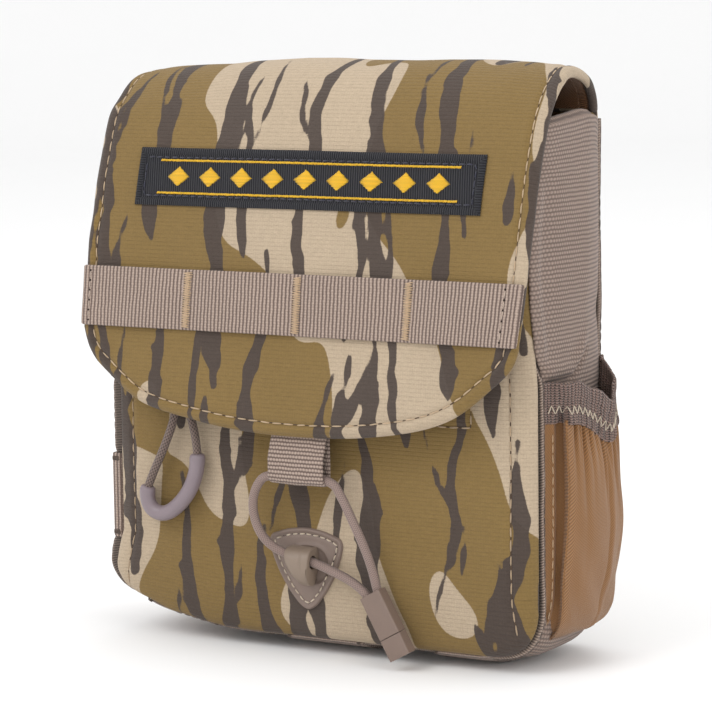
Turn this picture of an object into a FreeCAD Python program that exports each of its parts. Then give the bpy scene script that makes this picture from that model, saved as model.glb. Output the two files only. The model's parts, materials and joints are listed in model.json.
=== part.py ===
import FreeCAD, Part
import math
import os

# Soft flap pouch with a foam-backed body, a bungee-and-hook closure, a zipped
# front pocket, a gathered side pocket and snap-down belt straps.
# Millimetres. X is the width, -Y is the front, +Z is up, and Z = 0 is the
# surface that the three bottom lashing loops stand on.

V = FreeCAD.Vector
os.makedirs("parts", exist_ok=True)

# ---------------------------------------------------------------- dimensions
OX, OY = -4.09, 6.28          # shift that puts the origin at the middle of the base
HALF_W = 85.0                 # half the width between the side seams
BASE_Z = 5.7                  # underside of the bottom panel
CORNER_R = 24.0               # bottom corners of the body
PANEL_TOP = 166.0             # top edge of the front panel
BACK_TOP = 189.4              # top edge of the back panel
GUSSET_TOP = 189.0            # hem of the side webbing
SEAM_Y = 25.2                 # front and back seam planes
PANEL_T = 3.0                 # foam-backed panel thickness
CROWN = 5.0                   # how far the front panel bulges past its rim
BIND_W = 2.4                  # width of the binding tape over each seam
BIND_OUT = 2.2                # how far the bound seam stands out
WEB_T = 1.4                   # heavy webbing thickness
LINING_T = 0.8

FLAP_HALF_W = 87.5            # half the width of the flap
FLAP_HINGE_HALF_W = 83.6      # half its width where it leaves the back panel
SHELL_T = 2.0                 # flap outer fabric with its foam backing
FOAM_T = 1.2                  # flap inner foam sheet
FLAP_T = 3.8                  # whole flap
HINGE_Y, HINGE_Z = 27.0, 190.2

LOOP_W = 30.0                 # lashing loops
LOOP_PITCH = 59.0
LOOP_T = 1.2
LOOP_GAP = 4.5                # clear gap under a lashing loop

ZIP_Z = 96.0                  # zip centre line
ZIP_HALF = 58.0               # half the length of the zip window
ZIP_WIN = 4.0                 # half its height
SLIDER_X = -50.0

TAB_X, TAB_W = 1.0, 21.0      # folded tab that carries the bungee
FOLD_Y, FOLD_Z = -43.4, 66.0  # centre of the fold
CORD_D = 3.2                  # bungee diameter
PULL_D = 3.0                  # zip pull cord
TUBE_D = 4.8                  # rubber sleeve on the pull
PULL_Y = -37.7

STRAP_X = 45.0                # belt strap centres
STRAP_W = 25.0
STRAP_HINGE_Y, STRAP_HINGE_Z = 29.85, 150.0


# ------------------------------------------------------------------- helpers
def save(shape, node):
    s = shape.copy()
    s.translate(V(OX, OY, 0))
    s.exportStep("parts/%s.step" % node)
    b = s.BoundBox
    print("%-22s solids %2d  vol %9.1f  x %7.2f %7.2f  y %7.2f %7.2f  z %7.2f %7.2f  valid %s" % (
        node, len(s.Solids), s.Volume, b.XMin, b.XMax, b.YMin, b.YMax, b.ZMin, b.ZMax, s.isValid()))


def compound(shapes):
    return Part.makeCompound(shapes)


def outline(inset, top, y, top_r=5.0, bottom_r=CORNER_R):
    """Closed wire in the plane Y = y: the body outline moved in by inset."""
    w = HALF_W - inset
    b = BASE_Z + inset
    t = top
    r = max(bottom_r - inset, 3.0)
    q = top_r
    k = math.sqrt(0.5)

    def arc(cx, cz, rad, a0, a1):
        am = (a0 + a1) / 2
        p = [V(cx + rad * math.cos(a), y, cz + rad * math.sin(a)) for a in (a0, am, a1)]
        return Part.Arc(*p).toShape()

    pi = math.pi
    e = [
        Part.LineSegment(V(-w, y, t - q), V(-w, y, b + r)).toShape(),
        arc(-w + r, b + r, r, pi, 1.5 * pi),
        Part.LineSegment(V(-w + r, y, b), V(w - r, y, b)).toShape(),
        arc(w - r, b + r, r, 1.5 * pi, 2 * pi),
        Part.LineSegment(V(w, y, b + r), V(w, y, t - q)).toShape(),
        arc(w - q, t - q, q, 0, 0.5 * pi),
        Part.LineSegment(V(w - q, y, t), V(-w + q, y, t)).toShape(),
        arc(-w + q, t - q, q, 0.5 * pi, pi),
    ]
    return Part.Wire(e)


def prism(inset, top, y0, y1, top_r=5.0, bottom_r=CORNER_R):
    f = Part.Face(outline(inset, top, y0, top_r, bottom_r))
    return f.extrude(V(0, y1 - y0, 0))


def box(x0, x1, y0, y1, z0, z1):
    return Part.makeBox(x1 - x0, y1 - y0, z1 - z0, V(x0, y0, z0))


def polygon_yz(points, x0, x1):
    p = [V(x0, y, z) for y, z in points]
    p.append(p[0])
    return Part.Face(Part.makePolygon(p)).extrude(V(x1 - x0, 0, 0))


def polygon_xz(points, y0, y1):
    p = [V(x, y0, z) for x, z in points]
    p.append(p[0])
    return Part.Face(Part.makePolygon(p)).extrude(V(0, y1 - y0, 0))


def spline_face_yz(a, b, x0, x1):
    """Solid between two open curves in YZ, closed at both ends, over x0..x1."""
    ca = Part.BSplineCurve()
    ca.interpolate([V(x0, y, z) for y, z in a])
    cb = Part.BSplineCurve()
    cb.interpolate([V(x0, y, z) for y, z in b])
    e = [ca.toShape(),
         Part.LineSegment(V(x0, *a[-1]), V(x0, *b[-1])).toShape(),
         cb.toShape(),
         Part.LineSegment(V(x0, *b[0]), V(x0, *a[0])).toShape()]
    w = Part.Wire(Part.__sortEdges__(e))
    return Part.Face(w).extrude(V(x1 - x0, 0, 0))


def cyl_y(x, z, r, y0, y1):
    return Part.makeCylinder(r, y1 - y0, V(x, y0, z), V(0, 1, 0))


def tube(route, d, name, d_in=0.0, tight=0.45):
    """Round cord along straight runs joined by tangent arcs."""
    pts = [V(*p) for p in route]
    edges = []
    at = pts[0]
    radii = []
    for i in range(1, len(pts) - 1):
        a, p, b = pts[i - 1], pts[i], pts[i + 1]
        u = (p - a)
        w = (b - p)
        lu, lw = u.Length, w.Length
        u.normalize()
        w.normalize()
        turn = math.acos(max(-1.0, min(1.0, u.dot(w))))
        t = tight * min(lu, lw)
        r = t / math.tan(turn / 2)
        radii.append(r)
        s = p - u * t
        e = p + w * t
        bis = (w - u)
        bis.normalize()
        c = p + bis * (r / math.cos(turn / 2))
        m = c - bis * r
        edges.append(Part.LineSegment(at, s).toShape())
        edges.append(Part.Arc(s, m, e).toShape())
        at = e
    edges.append(Part.LineSegment(at, pts[-1]).toShape())
    path = Part.Wire(edges)
    start = pts[0]
    dirn = pts[1] - pts[0]
    dirn.normalize()
    ring = Part.Wire(Part.Circle(start, dirn, d / 2).toShape())
    solid = path.makePipeShell([ring], True, False)
    if not solid.isValid():
        solid.fix(0.001, 0.001, 0.001)
    want = math.pi * d * d / 4 * path.Length
    print("cord %s: length %.1f, section x length %.1f, volume %.1f, radii %s" % (
        name, path.Length, want, abs(solid.Volume), [round(r, 1) for r in radii]))
    if d_in:
        ring = Part.Wire(Part.Circle(start, dirn, d_in / 2).toShape())
        solid = solid.cut(path.makePipeShell([ring], True, False))
    return Part.Solid(solid) if solid.ShapeType == "Shell" else solid


# ---------------------------------------------------------------- body shell
# Front panel: a foam-backed sheet, crowned forward, with a slot for the zip.
OUT_LEVELS = [(-SEAM_Y, 0.0), (-SEAM_Y - PANEL_T, 0.0), (-29.4, 1.0), (-31.1, 4.5),
              (-32.4, 12.0), (-33.1, 24.0), (-SEAM_Y - PANEL_T - CROWN, 40.0)]
IN_LEVELS = [(-SEAM_Y + 0.2, 1.8), (-26.6, 2.6), (-28.1, 6.0), (-29.4, 13.0),
             (-30.1, 24.5), (-SEAM_Y - CROWN, 40.0)]
PANEL_FRONT = SEAM_Y + PANEL_T + CROWN      # 33.2


def crown(levels, dy=0.0):
    wires = []
    for y, inset in levels:
        # the crown dies away faster towards the mouth, under the flap
        top = PANEL_TOP - min(2.1 * inset, 1.1 * inset + 12.0)
        wires.append(outline(inset, top, y + dy, top_r=max(5.0 - inset * 0.2, 2.0)))
    return Part.makeLoft(wires, True, True)


front_solid = crown(OUT_LEVELS)
front_panel = front_solid.cut(crown(IN_LEVELS))
front_panel = front_panel.cut(box(-ZIP_HALF, ZIP_HALF, -40, -20, ZIP_Z - ZIP_WIN, ZIP_Z + ZIP_WIN))
save(front_panel, "front_panel")

# Rear wall of the zipped front pocket.
pocket_wall = prism(1.8, 112.0, -SEAM_Y, -SEAM_Y + 0.8, top_r=2.0)
save(pocket_wall, "zip_pocket_wall")

# Body webbing: one strip up the left side, under the base and up the right side.
gusset = prism(0.0, GUSSET_TOP, -SEAM_Y + BIND_W, SEAM_Y - BIND_W, top_r=0.5)
gusset = gusset.cut(prism(WEB_T, GUSSET_TOP + 20, -30, 30, top_r=0.5))
# the front top corners are cut back so that the flap lies over them
notch = polygon_yz([(-30, 176), (-22.9, 176), (-14.0, 189.2), (-14.0, 200), (-30, 200)], -120, 120)
gusset = gusset.cut(notch)
save(gusset, "side_gusset")

# Binding tape over the two seams.
bind = prism(-BIND_OUT, PANEL_TOP, -SEAM_Y, -SEAM_Y + BIND_W, top_r=0.5, bottom_r=CORNER_R)
bind = bind.cut(prism(WEB_T, PANEL_TOP + 20, -30, 30, top_r=0.5))
bind = bind.cut(notch)
save(bind, "front_binding")
bind = prism(-BIND_OUT, 187.0, SEAM_Y - BIND_W, SEAM_Y, top_r=0.5)
bind = bind.cut(prism(WEB_T, 187.0 + 20, -30, 30, top_r=0.5))
save(bind, "back_binding")

# Back panel: flat and foam backed.
back_panel = prism(1.6, BACK_TOP, SEAM_Y, SEAM_Y + PANEL_T, top_r=6.0)
save(back_panel, "back_panel")

# Lining of the main compartment, open at the top.
lining = prism(1.6, 186.0, -24.2, 24.2, top_r=0.5)
lining = lining.cut(prism(1.6 + LINING_T, 186.0 + 20, -24.2 + LINING_T, 24.2 - LINING_T, top_r=0.5))
lining = lining.cut(polygon_yz([(-30, 174), (-22.9, 174), (-14.0, 187.2), (-14.0, 220), (-30, 220)], -120, 120))
save(lining, "main_lining")

# ----------------------------------------------------------------------- zip
# Two tapes with their tooth rows meshed on the centre line.
tapes = [box(-ZIP_HALF + 0.1, ZIP_HALF - 0.1, -32.2, -31.4, ZIP_Z + 1.7, ZIP_Z + ZIP_WIN - 0.1),
         box(-ZIP_HALF + 0.1, ZIP_HALF - 0.1, -32.2, -31.4, ZIP_Z - ZIP_WIN + 0.1, ZIP_Z - 1.7)]
save(compound(tapes), "zip_tape")


def comb(sign):
    pitch = 2.8
    x = -ZIP_HALF + 3.0
    pts = [(x, ZIP_Z + sign * 1.65)]
    n = 0
    start = x + 0.2 + (0 if sign > 0 else pitch / 2)
    while start + n * pitch + 1.2 < ZIP_HALF - 3.0:
        a = start + n * pitch
        pts += [(a, ZIP_Z + sign * 1.1), (a, ZIP_Z - sign * 0.9), (a + 1.2, ZIP_Z - sign * 0.9), (a + 1.2, ZIP_Z + sign * 1.1)]
        n += 1
    pts[0] = (x, ZIP_Z + sign * 1.65)
    pts.insert(1, (x, ZIP_Z + sign * 1.1))
    pts += [(ZIP_HALF - 3.0, ZIP_Z + sign * 1.1), (ZIP_HALF - 3.0, ZIP_Z + sign * 1.65)]
    return polygon_xz(pts, -32.9, -30.9)


save(compound([comb(1), comb(-1)]), "zip_teeth")
save(compound([box(-ZIP_HALF + 0.4, -ZIP_HALF + 2.6, -33.0, -30.8, ZIP_Z - 1.6, ZIP_Z + 1.6),
               box(ZIP_HALF - 2.6, ZIP_HALF - 0.4, -33.0, -30.8, ZIP_Z - 1.6, ZIP_Z + 1.6)]), "zip_end_stops")

# Slider: a tapered plate on the front of the teeth with a bridge for the pull.
sx = SLIDER_X
plate = polygon_xz([(sx - 5.0, ZIP_Z - 3.4), (sx + 3.0, ZIP_Z - 4.4), (sx + 5.5, ZIP_Z - 3.4),
                    (sx + 5.5, ZIP_Z + 3.4), (sx + 3.0, ZIP_Z + 4.4), (sx - 5.0, ZIP_Z + 3.4)], -35.1, -33.5)
keel = box(sx - 4.6, sx + 4.6, -33.5, -33.1, ZIP_Z - 2.8, ZIP_Z + 2.8)
bridge = box(sx - 4.8, sx + 4.8, -40.3, -35.1, ZIP_Z - 0.8, ZIP_Z + 0.8)
bridge = bridge.cut(box(sx - 3.8, sx + 3.8, -39.4, -35.0, ZIP_Z - 3, ZIP_Z + 3))
slider = plate.fuse([keel, bridge]).removeSplitter()
save(slider, "zip_slider")

# Zip pull: a cord through the bridge with a rubber sleeve round the bottom of its loop.
PULL_ROUTE = [(-51.6, -37.25, 98.4), (-51.6, -37.3, 93.6), (-52.6, PULL_Y, 87.0), (-54.6, PULL_Y, 79.5),
              (-58.9, PULL_Y, 70.0), (-63.4, PULL_Y, 61.5), (-66.6, PULL_Y, 54.0),
              (-64.6, PULL_Y, 48.2), (-58.6, PULL_Y, 46.6), (-51.8, PULL_Y, 51.2),
              (-46.5, PULL_Y, 58.4), (-44.0, PULL_Y, 67.0), (-45.0, PULL_Y, 76.0),
              (-47.2, PULL_Y, 84.5), (-48.4, -37.3, 92.0), (-48.4, -37.25, 98.4)]
# the sleeve covers the loop from below its widest point on the left to the right leg
SLEEVE_ROUTE = PULL_ROUTE[5:12]


def cord_route_tube(route, d, name, **kw):
    return tube(route, d, name, **kw)


pull_cord = cord_route_tube(PULL_ROUTE, PULL_D, "zip_pull_cord")
sleeve_solid = cord_route_tube(PULL_ROUTE, TUBE_D, "zip_pull_sleeve")
# the sleeve is the stretch of the thicker tube below its two cut faces
low = box(-75, -54.9, -45, -30, 40, 60.0).fuse(box(-55.0, -35, -45, -30, 40, 69.5))
sleeve = sleeve_solid.common(low)
hole = cord_route_tube(PULL_ROUTE, PULL_D + 0.2, "zip_pull_sleeve_bore")
sleeve = sleeve.cut(hole)
knot = Part.makeCylinder(1.95, 6.4, V(SLIDER_X - 3.2, -37.3, 100.4), V(1, 0, 0))
knot = knot.makeFillet(1.4, [e for e in knot.Edges if e.Closed and len(e.Vertexes) == 1])
knot = knot.cut(hole)
save(knot, "zip_pull_knot")
save(pull_cord, "zip_pull_cord")
save(sleeve, "zip_pull_sleeve")

# ------------------------------------------------------------------- closure
# Rubber hook shield: a stitched base that follows the panel, and a nose that is
# joined along its top, with a channel across it for the bungee.
shield_pts = [(-16.2, 43.0), (-9.0, 45.4), (-2.0, 46.2), (5.0, 45.4), (12.0, 43.0), (12.6, 40.5),
              (11.6, 35.5), (9.2, 29.5), (5.6, 23.6), (1.2, 18.6), (-2.0, 16.2), (-5.2, 18.6),
              (-9.6, 23.6), (-13.2, 29.5), (-15.8, 35.5), (-16.8, 40.5)]
shield = crown(OUT_LEVELS, dy=-1.4).cut(front_solid)
shield = shield.common(polygon_xz(shield_pts, -45, -20))
nose = polygon_yz([(-34.4, 42.4), (-38.5, 42.0), (-42.2, 39.6), (-43.2, 35.0), (-43.0, 30.0), (-42.2, 26.2),
                   (-40.9, 26.2), (-40.6, 30.0), (-40.5, 36.2), (-39.8, 38.6), (-37.6, 39.6), (-34.4, 39.6)], -8.0, 3.6)
taper = polygon_xz([(-8.6, 44.0), (4.2, 44.0), (4.2, 37.0), (1.4, 25.0), (-5.8, 25.0), (-8.6, 37.0)], -46, -34.0)
nose = nose.common(taper)
nose = nose.cut(front_solid)
shield = shield.fuse(nose).removeSplitter()
save(shield, "hook_shield")

# --------------------------------------------------------------------- flap
# Outer surface of the flap in side view, from the back seam over the top and
# down the front.
PROFILE = [(24.3, 190.8), (23.4, 195.2), (20.2, 200.2), (14.2, 204.2), (6.4, 206.7), (-1.8, 207.5),
           (-9.2, 206.3), (-15.6, 202.9), (-21.0, 197.4), (-25.3, 190.2), (-28.9, 182.0),
           (-31.7, 174.0), (-34.3, 166.0), (-36.5, 157.5), (-38.1, 148.0), (-39.5, 138.0),
           (-40.9, 128.0), (-42.5, 117.0), (-44.2, 106.0), (-45.6, 95.0), (-46.6, 85.0), (-47.1, 78.0)]
base_curve = Part.BSplineCurve()
base_curve.interpolate([V(0, y, z) for y, z in PROFILE])
_n = 64
_f, _l = base_curve.FirstParameter, base_curve.LastParameter
SAMPLES = []
for _i in range(_n + 1):
    _u = _f + (_l - _f) * _i / _n
    _p = base_curve.value(_u)
    _t = base_curve.tangent(_u)[0]
    SAMPLES.append((_p.y, _p.z, -_t.z, _t.y))    # point and its inward normal


def offset_curve(t, i0=0, i1=_n, step=2):
    """The flap profile moved inward by t (outward if negative)."""
    ids = list(range(i0, i1, step)) + [i1]
    out = []
    for i in ids:
        y, z, ny, nz = SAMPLES[i]
        out.append((y + ny * t, z + nz * t))
    return out


# the inward normal must point to the pouch
if (SAMPLES[_n // 2][2] > 0) is False:
    SAMPLES = [(y, z, -a, -b) for y, z, a, b in SAMPLES]


def band(t0, t1, half_w=95.0, i0=0, i1=_n):
    return spline_face_yz(offset_curve(t0, i0, i1), offset_curve(t1, i0, i1), -half_w, half_w)


FLAP_EDGE = [(87.5, 114.0), (85.7, 107.6), (81.0, 101.2), (73.5, 95.2), (64.0, 90.0), (52.0, 86.0),
             (38.0, 83.1), (20.0, 81.0), (0.0, 80.3)]


def flap_prism(inset=0.0, top=230.0):
    """Front view of the flap as a prism along Y, moved in by inset."""
    right = [(x - inset * min(1.0, x / 70.0), z + inset * (1.0 - 0.55 * max(0.0, (x - 60) / 27.5))) for x, z in FLAP_EDGE]
    left = [(-x, z) for x, z in reversed(right[:-1])]
    e = []
    c = Part.BSplineCurve()
    c.interpolate([V(x, -80, z) for x, z in right + left])
    w = FLAP_HALF_W - inset
    e.append(Part.LineSegment(V(w, -80, top), V(w, -80, right[0][1])).toShape())
    e.append(c.toShape())
    e.append(Part.LineSegment(V(-w, -80, right[0][1]), V(-w, -80, top)).toShape())
    e.append(Part.LineSegment(V(-w, -80, top), V(w, -80, top)).toShape())
    return Part.Face(Part.Wire(e)).extrude(V(0, 160, 0))


def plan_prism(inset=0.0):
    """Top view of the flap: a little narrower at the back seam."""
    a, b = FLAP_HINGE_HALF_W - inset, FLAP_HALF_W - inset
    p = [(-a, 40), (-a, 22), (-b, -12), (-b, -80), (b, -80), (b, -12), (a, 22), (a, 40)]
    q = [V(x, y, 60) for x, y in p]
    q.append(q[0])
    return Part.Face(Part.makePolygon(q)).extrude(V(0, 0, 200))


flap_full = flap_prism().common(plan_prism())
flap_in = flap_prism(6.0).common(plan_prism(6.0))
flap_shell = band(0.0, SHELL_T).common(flap_full)
foam = band(SHELL_T + 0.06, SHELL_T + FOAM_T - 0.06, i0=2).common(flap_in)
flap_lining = band(SHELL_T, FLAP_T).common(flap_full)
flap_lining = flap_lining.cut(band(SHELL_T - 0.5, SHELL_T + FOAM_T, i0=2).common(flap_in))
save(flap_shell, "flap_shell")
save(foam, "flap_foam")
save(flap_lining, "flap_lining")


def index_at(z, lo=30):
    """Sample on the front of the flap nearest to height z."""
    return min(range(lo, _n + 1), key=lambda i: abs(SAMPLES[i][1] - z))


def strip(t0, t1, x0, x1, z0, z1):
    """A flat trim piece on the front of the flap between heights z0 and z1."""
    t0 = t0 + 0.02
    i0 = max(index_at(z1) - 2, 0)
    i1 = min(index_at(z0) + 2, _n)
    s = spline_face_yz(offset_curve(-t0, i0, i1, 1), offset_curve(-t1, i0, i1, 1), x0, x1)
    return s.common(box(x0 - 1, x1 + 1, -80, 0, z0, z1))


save(strip(0.0, 1.2, -88.0, 88.0, 115.0, 135.0), "flap_webbing")
tacks = [strip(1.2, 1.6, x - 0.9, x + 0.9, 115.6, 134.4) for x in (-86.0, -44.0, 0.6, 44.0, 86.0)]
save(compound(tacks), "flap_bartacks")
patch = strip(0.0, 1.0, -69.0, 69.0, 157.6, 177.2)
save(patch, "flap_patch")
# plain stitched motif on the patch: two border lines and a row of diamonds
motif_layer = strip(1.0, 1.4, -66.0, 66.0, 158.5, 176.5)
shapes = [polygon_xz([(-60, 172.6), (60, 172.6), (60, 173.4), (-60, 173.4)], -60, -20),
          polygon_xz([(-60, 161.4), (60, 161.4), (60, 162.2), (-60, 162.2)], -60, -20)]
for k in range(-4, 5):
    cx = k * 13.0
    shapes.append(polygon_xz([(cx - 4.6, 167.4), (cx, 164.0), (cx + 4.6, 167.4), (cx, 170.8)], -60, -20))
save(compound([motif_layer.common(s) for s in shapes]), "patch_stitching")

# Tab: webbing folded round the bungee, both ends under the flap edge.
t = LOOP_T
ro = CORD_D / 2 + 0.25 + t
ri = CORD_D / 2 + 0.25


def tab_top(dist, z):
    i = index_at(z)
    y, zz, ny, nz = SAMPLES[i]
    return (y + ny * dist, zz + nz * dist)


f1, b1 = tab_top(FLAP_T + 0.15, 90.0), tab_top(FLAP_T + 0.15 + 2 * t, 90.0)
f2, b2 = tab_top(FLAP_T + 0.15, 82.0), tab_top(FLAP_T + 0.15 + 2 * t, 82.0)
outer = [f1, f2, (FOLD_Y - ro, FOLD_Z + 5.0), (FOLD_Y - ro, FOLD_Z)]
for k in range(1, 12):
    a = math.pi + math.pi * k / 12
    outer.append((FOLD_Y + ro * math.cos(a), FOLD_Z + ro * math.sin(a)))
outer += [(FOLD_Y + ro, FOLD_Z), (FOLD_Y + ro, FOLD_Z + 6.0), b2, b1]
inner = [((f2[0] + b2[0]) / 2, 80.0), (FOLD_Y - ri, FOLD_Z + 4.6), (FOLD_Y - ri, FOLD_Z)]
for k in range(1, 12):
    a = math.pi + math.pi * k / 12
    inner.append((FOLD_Y + ri * math.cos(a), FOLD_Z + ri * math.sin(a)))
inner += [(FOLD_Y + ri, FOLD_Z), (FOLD_Y + ri, FOLD_Z + 5.6)]
tab = polygon_yz(outer, TAB_X - TAB_W / 2, TAB_X + TAB_W / 2)
tab = tab.cut(polygon_yz(inner, -30, 30))
save(tab, "closure_tab")

# Bungee: both ends in the cord end, one loop through the tab and behind the nose.
END_TOP = V(26.9, -38.7, 26.2)
END_DIR = V(11.75, 0, -20.95)
END_DIR.normalize()
END_SIDE = V(0.873, 0, 0.49)
END_SIDE.normalize()
END_L, END_W, END_T = 24.0, 8.6, 5.4
CAP_L = 8.0
enter_a = END_TOP + END_SIDE * 1.9
enter_b = END_TOP - END_SIDE * 1.9


def tup(v):
    return (v.x, v.y, v.z)


BUNGEE_ROUTE = [
    tup(enter_a + END_DIR * 5.0), tup(enter_a + END_DIR * 0.6), (28.0, -39.8, 33.6), (25.8, -41.8, 42.6),
    (21.8, -42.8, 51.6), (18.0, -43.3, 59.6), (13.7, FOLD_Y, FOLD_Z + 0.05),
    (1.0, FOLD_Y, FOLD_Z - 0.05), (-11.8, FOLD_Y, FOLD_Z + 0.05), (-16.2, -43.2, 62.0),
    (-18.6, -42.9, 55.8), (-18.0, -42.5, 49.0), (-15.6, -42.0, 43.6), (-12.6, -40.2, 39.8),
    (-8.8, -38.3, 37.2), (-1.0, -37.9, 35.7), (6.0, -38.0, 33.9), (13.0, -38.3, 31.7), (19.6, -38.6, 29.2),
    tup(enter_b + END_DIR * 0.4), tup(enter_b + END_DIR * 5.0)]
bungee = tube(BUNGEE_ROUTE, CORD_D, "bungee_cord")
save(bungee, "bungee_cord")


def end_block(s0, s1, extra=0.0):
    """Block of the cord end between distances s0 and s1 from its mouth."""
    c = END_TOP + END_DIR * s0
    hx = END_SIDE * (END_W / 2 + extra)
    hy = V(0, END_T / 2 + extra, 0)
    p = [c - hx - hy, c + hx - hy, c + hx + hy, c - hx + hy]
    p.append(p[0])
    return Part.Face(Part.makePolygon(p)).extrude(END_DIR * (s1 - s0))


cord_end = end_block(0.0, END_L - CAP_L)
cord_end = cord_end.makeFillet(0.7, [e for e in cord_end.Edges if abs((e.Vertexes[0].Point - e.Vertexes[1].Point).Length - (END_L - CAP_L)) < 0.01])
for c0 in (enter_a, enter_b):
    cord_end = cord_end.cut(Part.makeCylinder(CORD_D / 2 + 0.15, 8.0, c0 - END_DIR * 1.0, END_DIR))
# the mouth is flared where the lower run comes in at an angle
cord_end = cord_end.cut(tube(BUNGEE_ROUTE[-4:], CORD_D + 0.3, "cord_end_mouth"))
cap = end_block(END_L - CAP_L + 0.25, END_L)
cap = cap.makeFillet(0.7, [e for e in cap.Edges if abs((e.Vertexes[0].Point - e.Vertexes[1].Point).Length - (CAP_L - 0.25)) < 0.01])
post = Part.makeCylinder(1.6, 4.0, END_TOP + END_DIR * (END_L - CAP_L - 3.0), END_DIR)
cap = cap.fuse(post)
cord_end = cord_end.cut(Part.makeCylinder(1.7, 3.2, END_TOP + END_DIR * (END_L - CAP_L - 3.1), END_DIR))
save(cord_end, "cord_end_body")
save(cap, "cord_end_cap")

# -------------------------------------------------------------- lashing loops
loop_out = SEAM_Y + 0.1 + LOOP_T        # 26.5


def channel(depth_wall):
    """Section of a loop: a flat run with its two ends turned to the seams.
    Returned as (along Y, away from the body) pairs; 0 is the outer face."""
    a, b = loop_out, loop_out - LOOP_T
    r = 1.6
    pts = [(-a, depth_wall), (-a, r)]
    for k in range(1, 5):
        g = math.pi + 0.5 * math.pi * k / 5
        pts.append((-a + r + r * math.cos(g), r + r * math.sin(g)))
    pts += [(-a + r, 0.0), (a - r, 0.0)]
    for k in range(1, 5):
        g = 1.5 * math.pi + 0.5 * math.pi * k / 5
        pts.append((a - r + r * math.cos(g), r + r * math.sin(g)))
    pts += [(a, r), (a, depth_wall), (b, depth_wall), (b, LOOP_T), (-b, LOOP_T), (-b, depth_wall)]
    return pts


for name, cx in (("bottom_loop_left", -LOOP_PITCH), ("bottom_loop_middle", 0.0), ("bottom_loop_right", LOOP_PITCH)):
    pts = [(y, z) for y, z in channel(BASE_Z - 0.1)]
    save(polygon_yz(pts, cx - LOOP_W / 2, cx + LOOP_W / 2), name)

LOOP_X = -HALF_W - LOOP_GAP - LOOP_T       # outer face of the side loops
for name, cz in (("side_loop_lower", 50.0), ("side_loop_middle", 50.0 + LOOP_PITCH), ("side_loop_upper", 50.0 + 2 * LOOP_PITCH)):
    sec = channel(LOOP_GAP + LOOP_T - 0.1)
    if name == "side_loop_upper":
        # its front end is sewn further back, clear of the flap
        g, a = LOOP_GAP + LOOP_T - 0.1, -15.0
        back = [(y, d) for y, d in sec if y > 0]
        sec = [(a, g), (a, 1.2), (a + 0.4, 0.35), (a + 1.2, 0.0)] + back + [(a + LOOP_T, LOOP_T), (a + LOOP_T, g)]
    p = [V(LOOP_X + d, y, cz - LOOP_W / 2) for y, d in sec]
    p.append(p[0])
    f = Part.Face(Part.makePolygon(p))
    save(f.extrude(V(0, 0, LOOP_W)), name)

# ---------------------------------------------------------------- side pocket
# Gathered pocket on the right side, D-shaped from above, with an elastic hem.
D_OUT = [(85.2, -22.3), (88.0, -21.6), (92.8, -18.0), (96.6, -11.5), (98.4, -3.5), (98.6, 5.0),
         (97.2, 12.5), (93.6, 18.4), (89.0, 21.4), (85.2, 22.3)]


def d_wire(z, grow=0.0, pinch=0.0, close_x=60.0):
    """D-shaped section of the pocket, closed inside the body webbing."""
    cx, cy = 85.2, 0.0
    p = []
    for x, y in D_OUT:
        dx, dy = x - cx, y - cy
        s = 1.0 - pinch
        n = math.hypot(dx, dy)
        p.append(V(cx + dx * s + grow * (dx / n if n else 0), cy + dy * (1.0 - pinch * 0.35) + grow * (dy / n if n else 0), z))
    p = [V(close_x, p[0].y, z)] + p + [V(close_x, p[-1].y, z)]
    p.append(p[0])
    return Part.makePolygon(p)


body_prism = prism(0.0, 220.0, -40, 40)
out = Part.makeLoft([d_wire(9.0, -0.2, 0.45), d_wire(16.0, -0.1, 0.16), d_wire(34.0), d_wire(88.0)], True, True)
inn = Part.makeLoft([d_wire(10.2, -1.2, 0.45), d_wire(16.4, -1.1, 0.16), d_wire(34.0, -1.0), d_wire(92.0, -1.0)], True, True)
side_pocket = out.cut(inn).cut(body_prism)
save(side_pocket, "side_pocket")
hem = Part.makeLoft([d_wire(88.05, 0.3), d_wire(99.0, 0.3)], True, True)
hem = hem.cut(Part.makeLoft([d_wire(80.0, -1.3), d_wire(110.0, -1.3)], True, True)).cut(body_prism)
save(hem, "side_pocket_elastic")

# ----------------------------------------------------------------- belt straps
for side, sgn in (("left", -1), ("right", 1)):
    cx = sgn * STRAP_X
    x0, x1 = cx - STRAP_W / 2, cx + STRAP_W / 2
    y_in = SEAM_Y + PANEL_T            # 28.2
    anchor = box(x0, x1, y_in + 0.05, y_in + 0.05 + WEB_T, 150.3, 166.0)
    save(anchor, "strap_anchor_" + side)
    sec = [(28.4, 149.8), (28.4, 147.0), (33.0, 139.0), (33.0, 67.0), (30.4, 57.0), (30.4, 40.0),
           (31.8, 40.0), (31.8, 56.6), (34.4, 66.6), (34.4, 139.4), (29.8, 147.8), (29.8, 149.8)]
    strap = polygon_yz(sec, x0, x1).cut(cyl_y(cx, 48.0, 2.5, 20, 40))
    save(strap, "belt_strap_" + side)
    # snap cap, its stem through the strap, and the socket ring behind the strap
    cap_s = cyl_y(cx, 48.0, 7.0, 31.85, 32.8).fuse(Part.makeCone(7.0, 5.4, 0.9, V(cx, 32.8, 48.0), V(0, 1, 0)))
    cap_s = cap_s.fuse(cyl_y(cx, 48.0, 2.4, 30.2, 32.0)).fuse(cyl_y(cx, 48.0, 6.0, 29.0, 30.35))
    cap_s = cap_s.cut(cyl_y(cx, 48.0, 2.0, 28.0, 31.2))
    save(cap_s.removeSplitter(), "snap_cap_" + side)
studs = []
for sgn in (-1, 1):
    cx = sgn * STRAP_X
    studs.append(cyl_y(cx, 48.0, 6.0, 28.25, 28.8).fuse(cyl_y(cx, 48.0, 1.7, 28.8, 30.6)))
save(compound(studs), "snap_studs")
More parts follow.
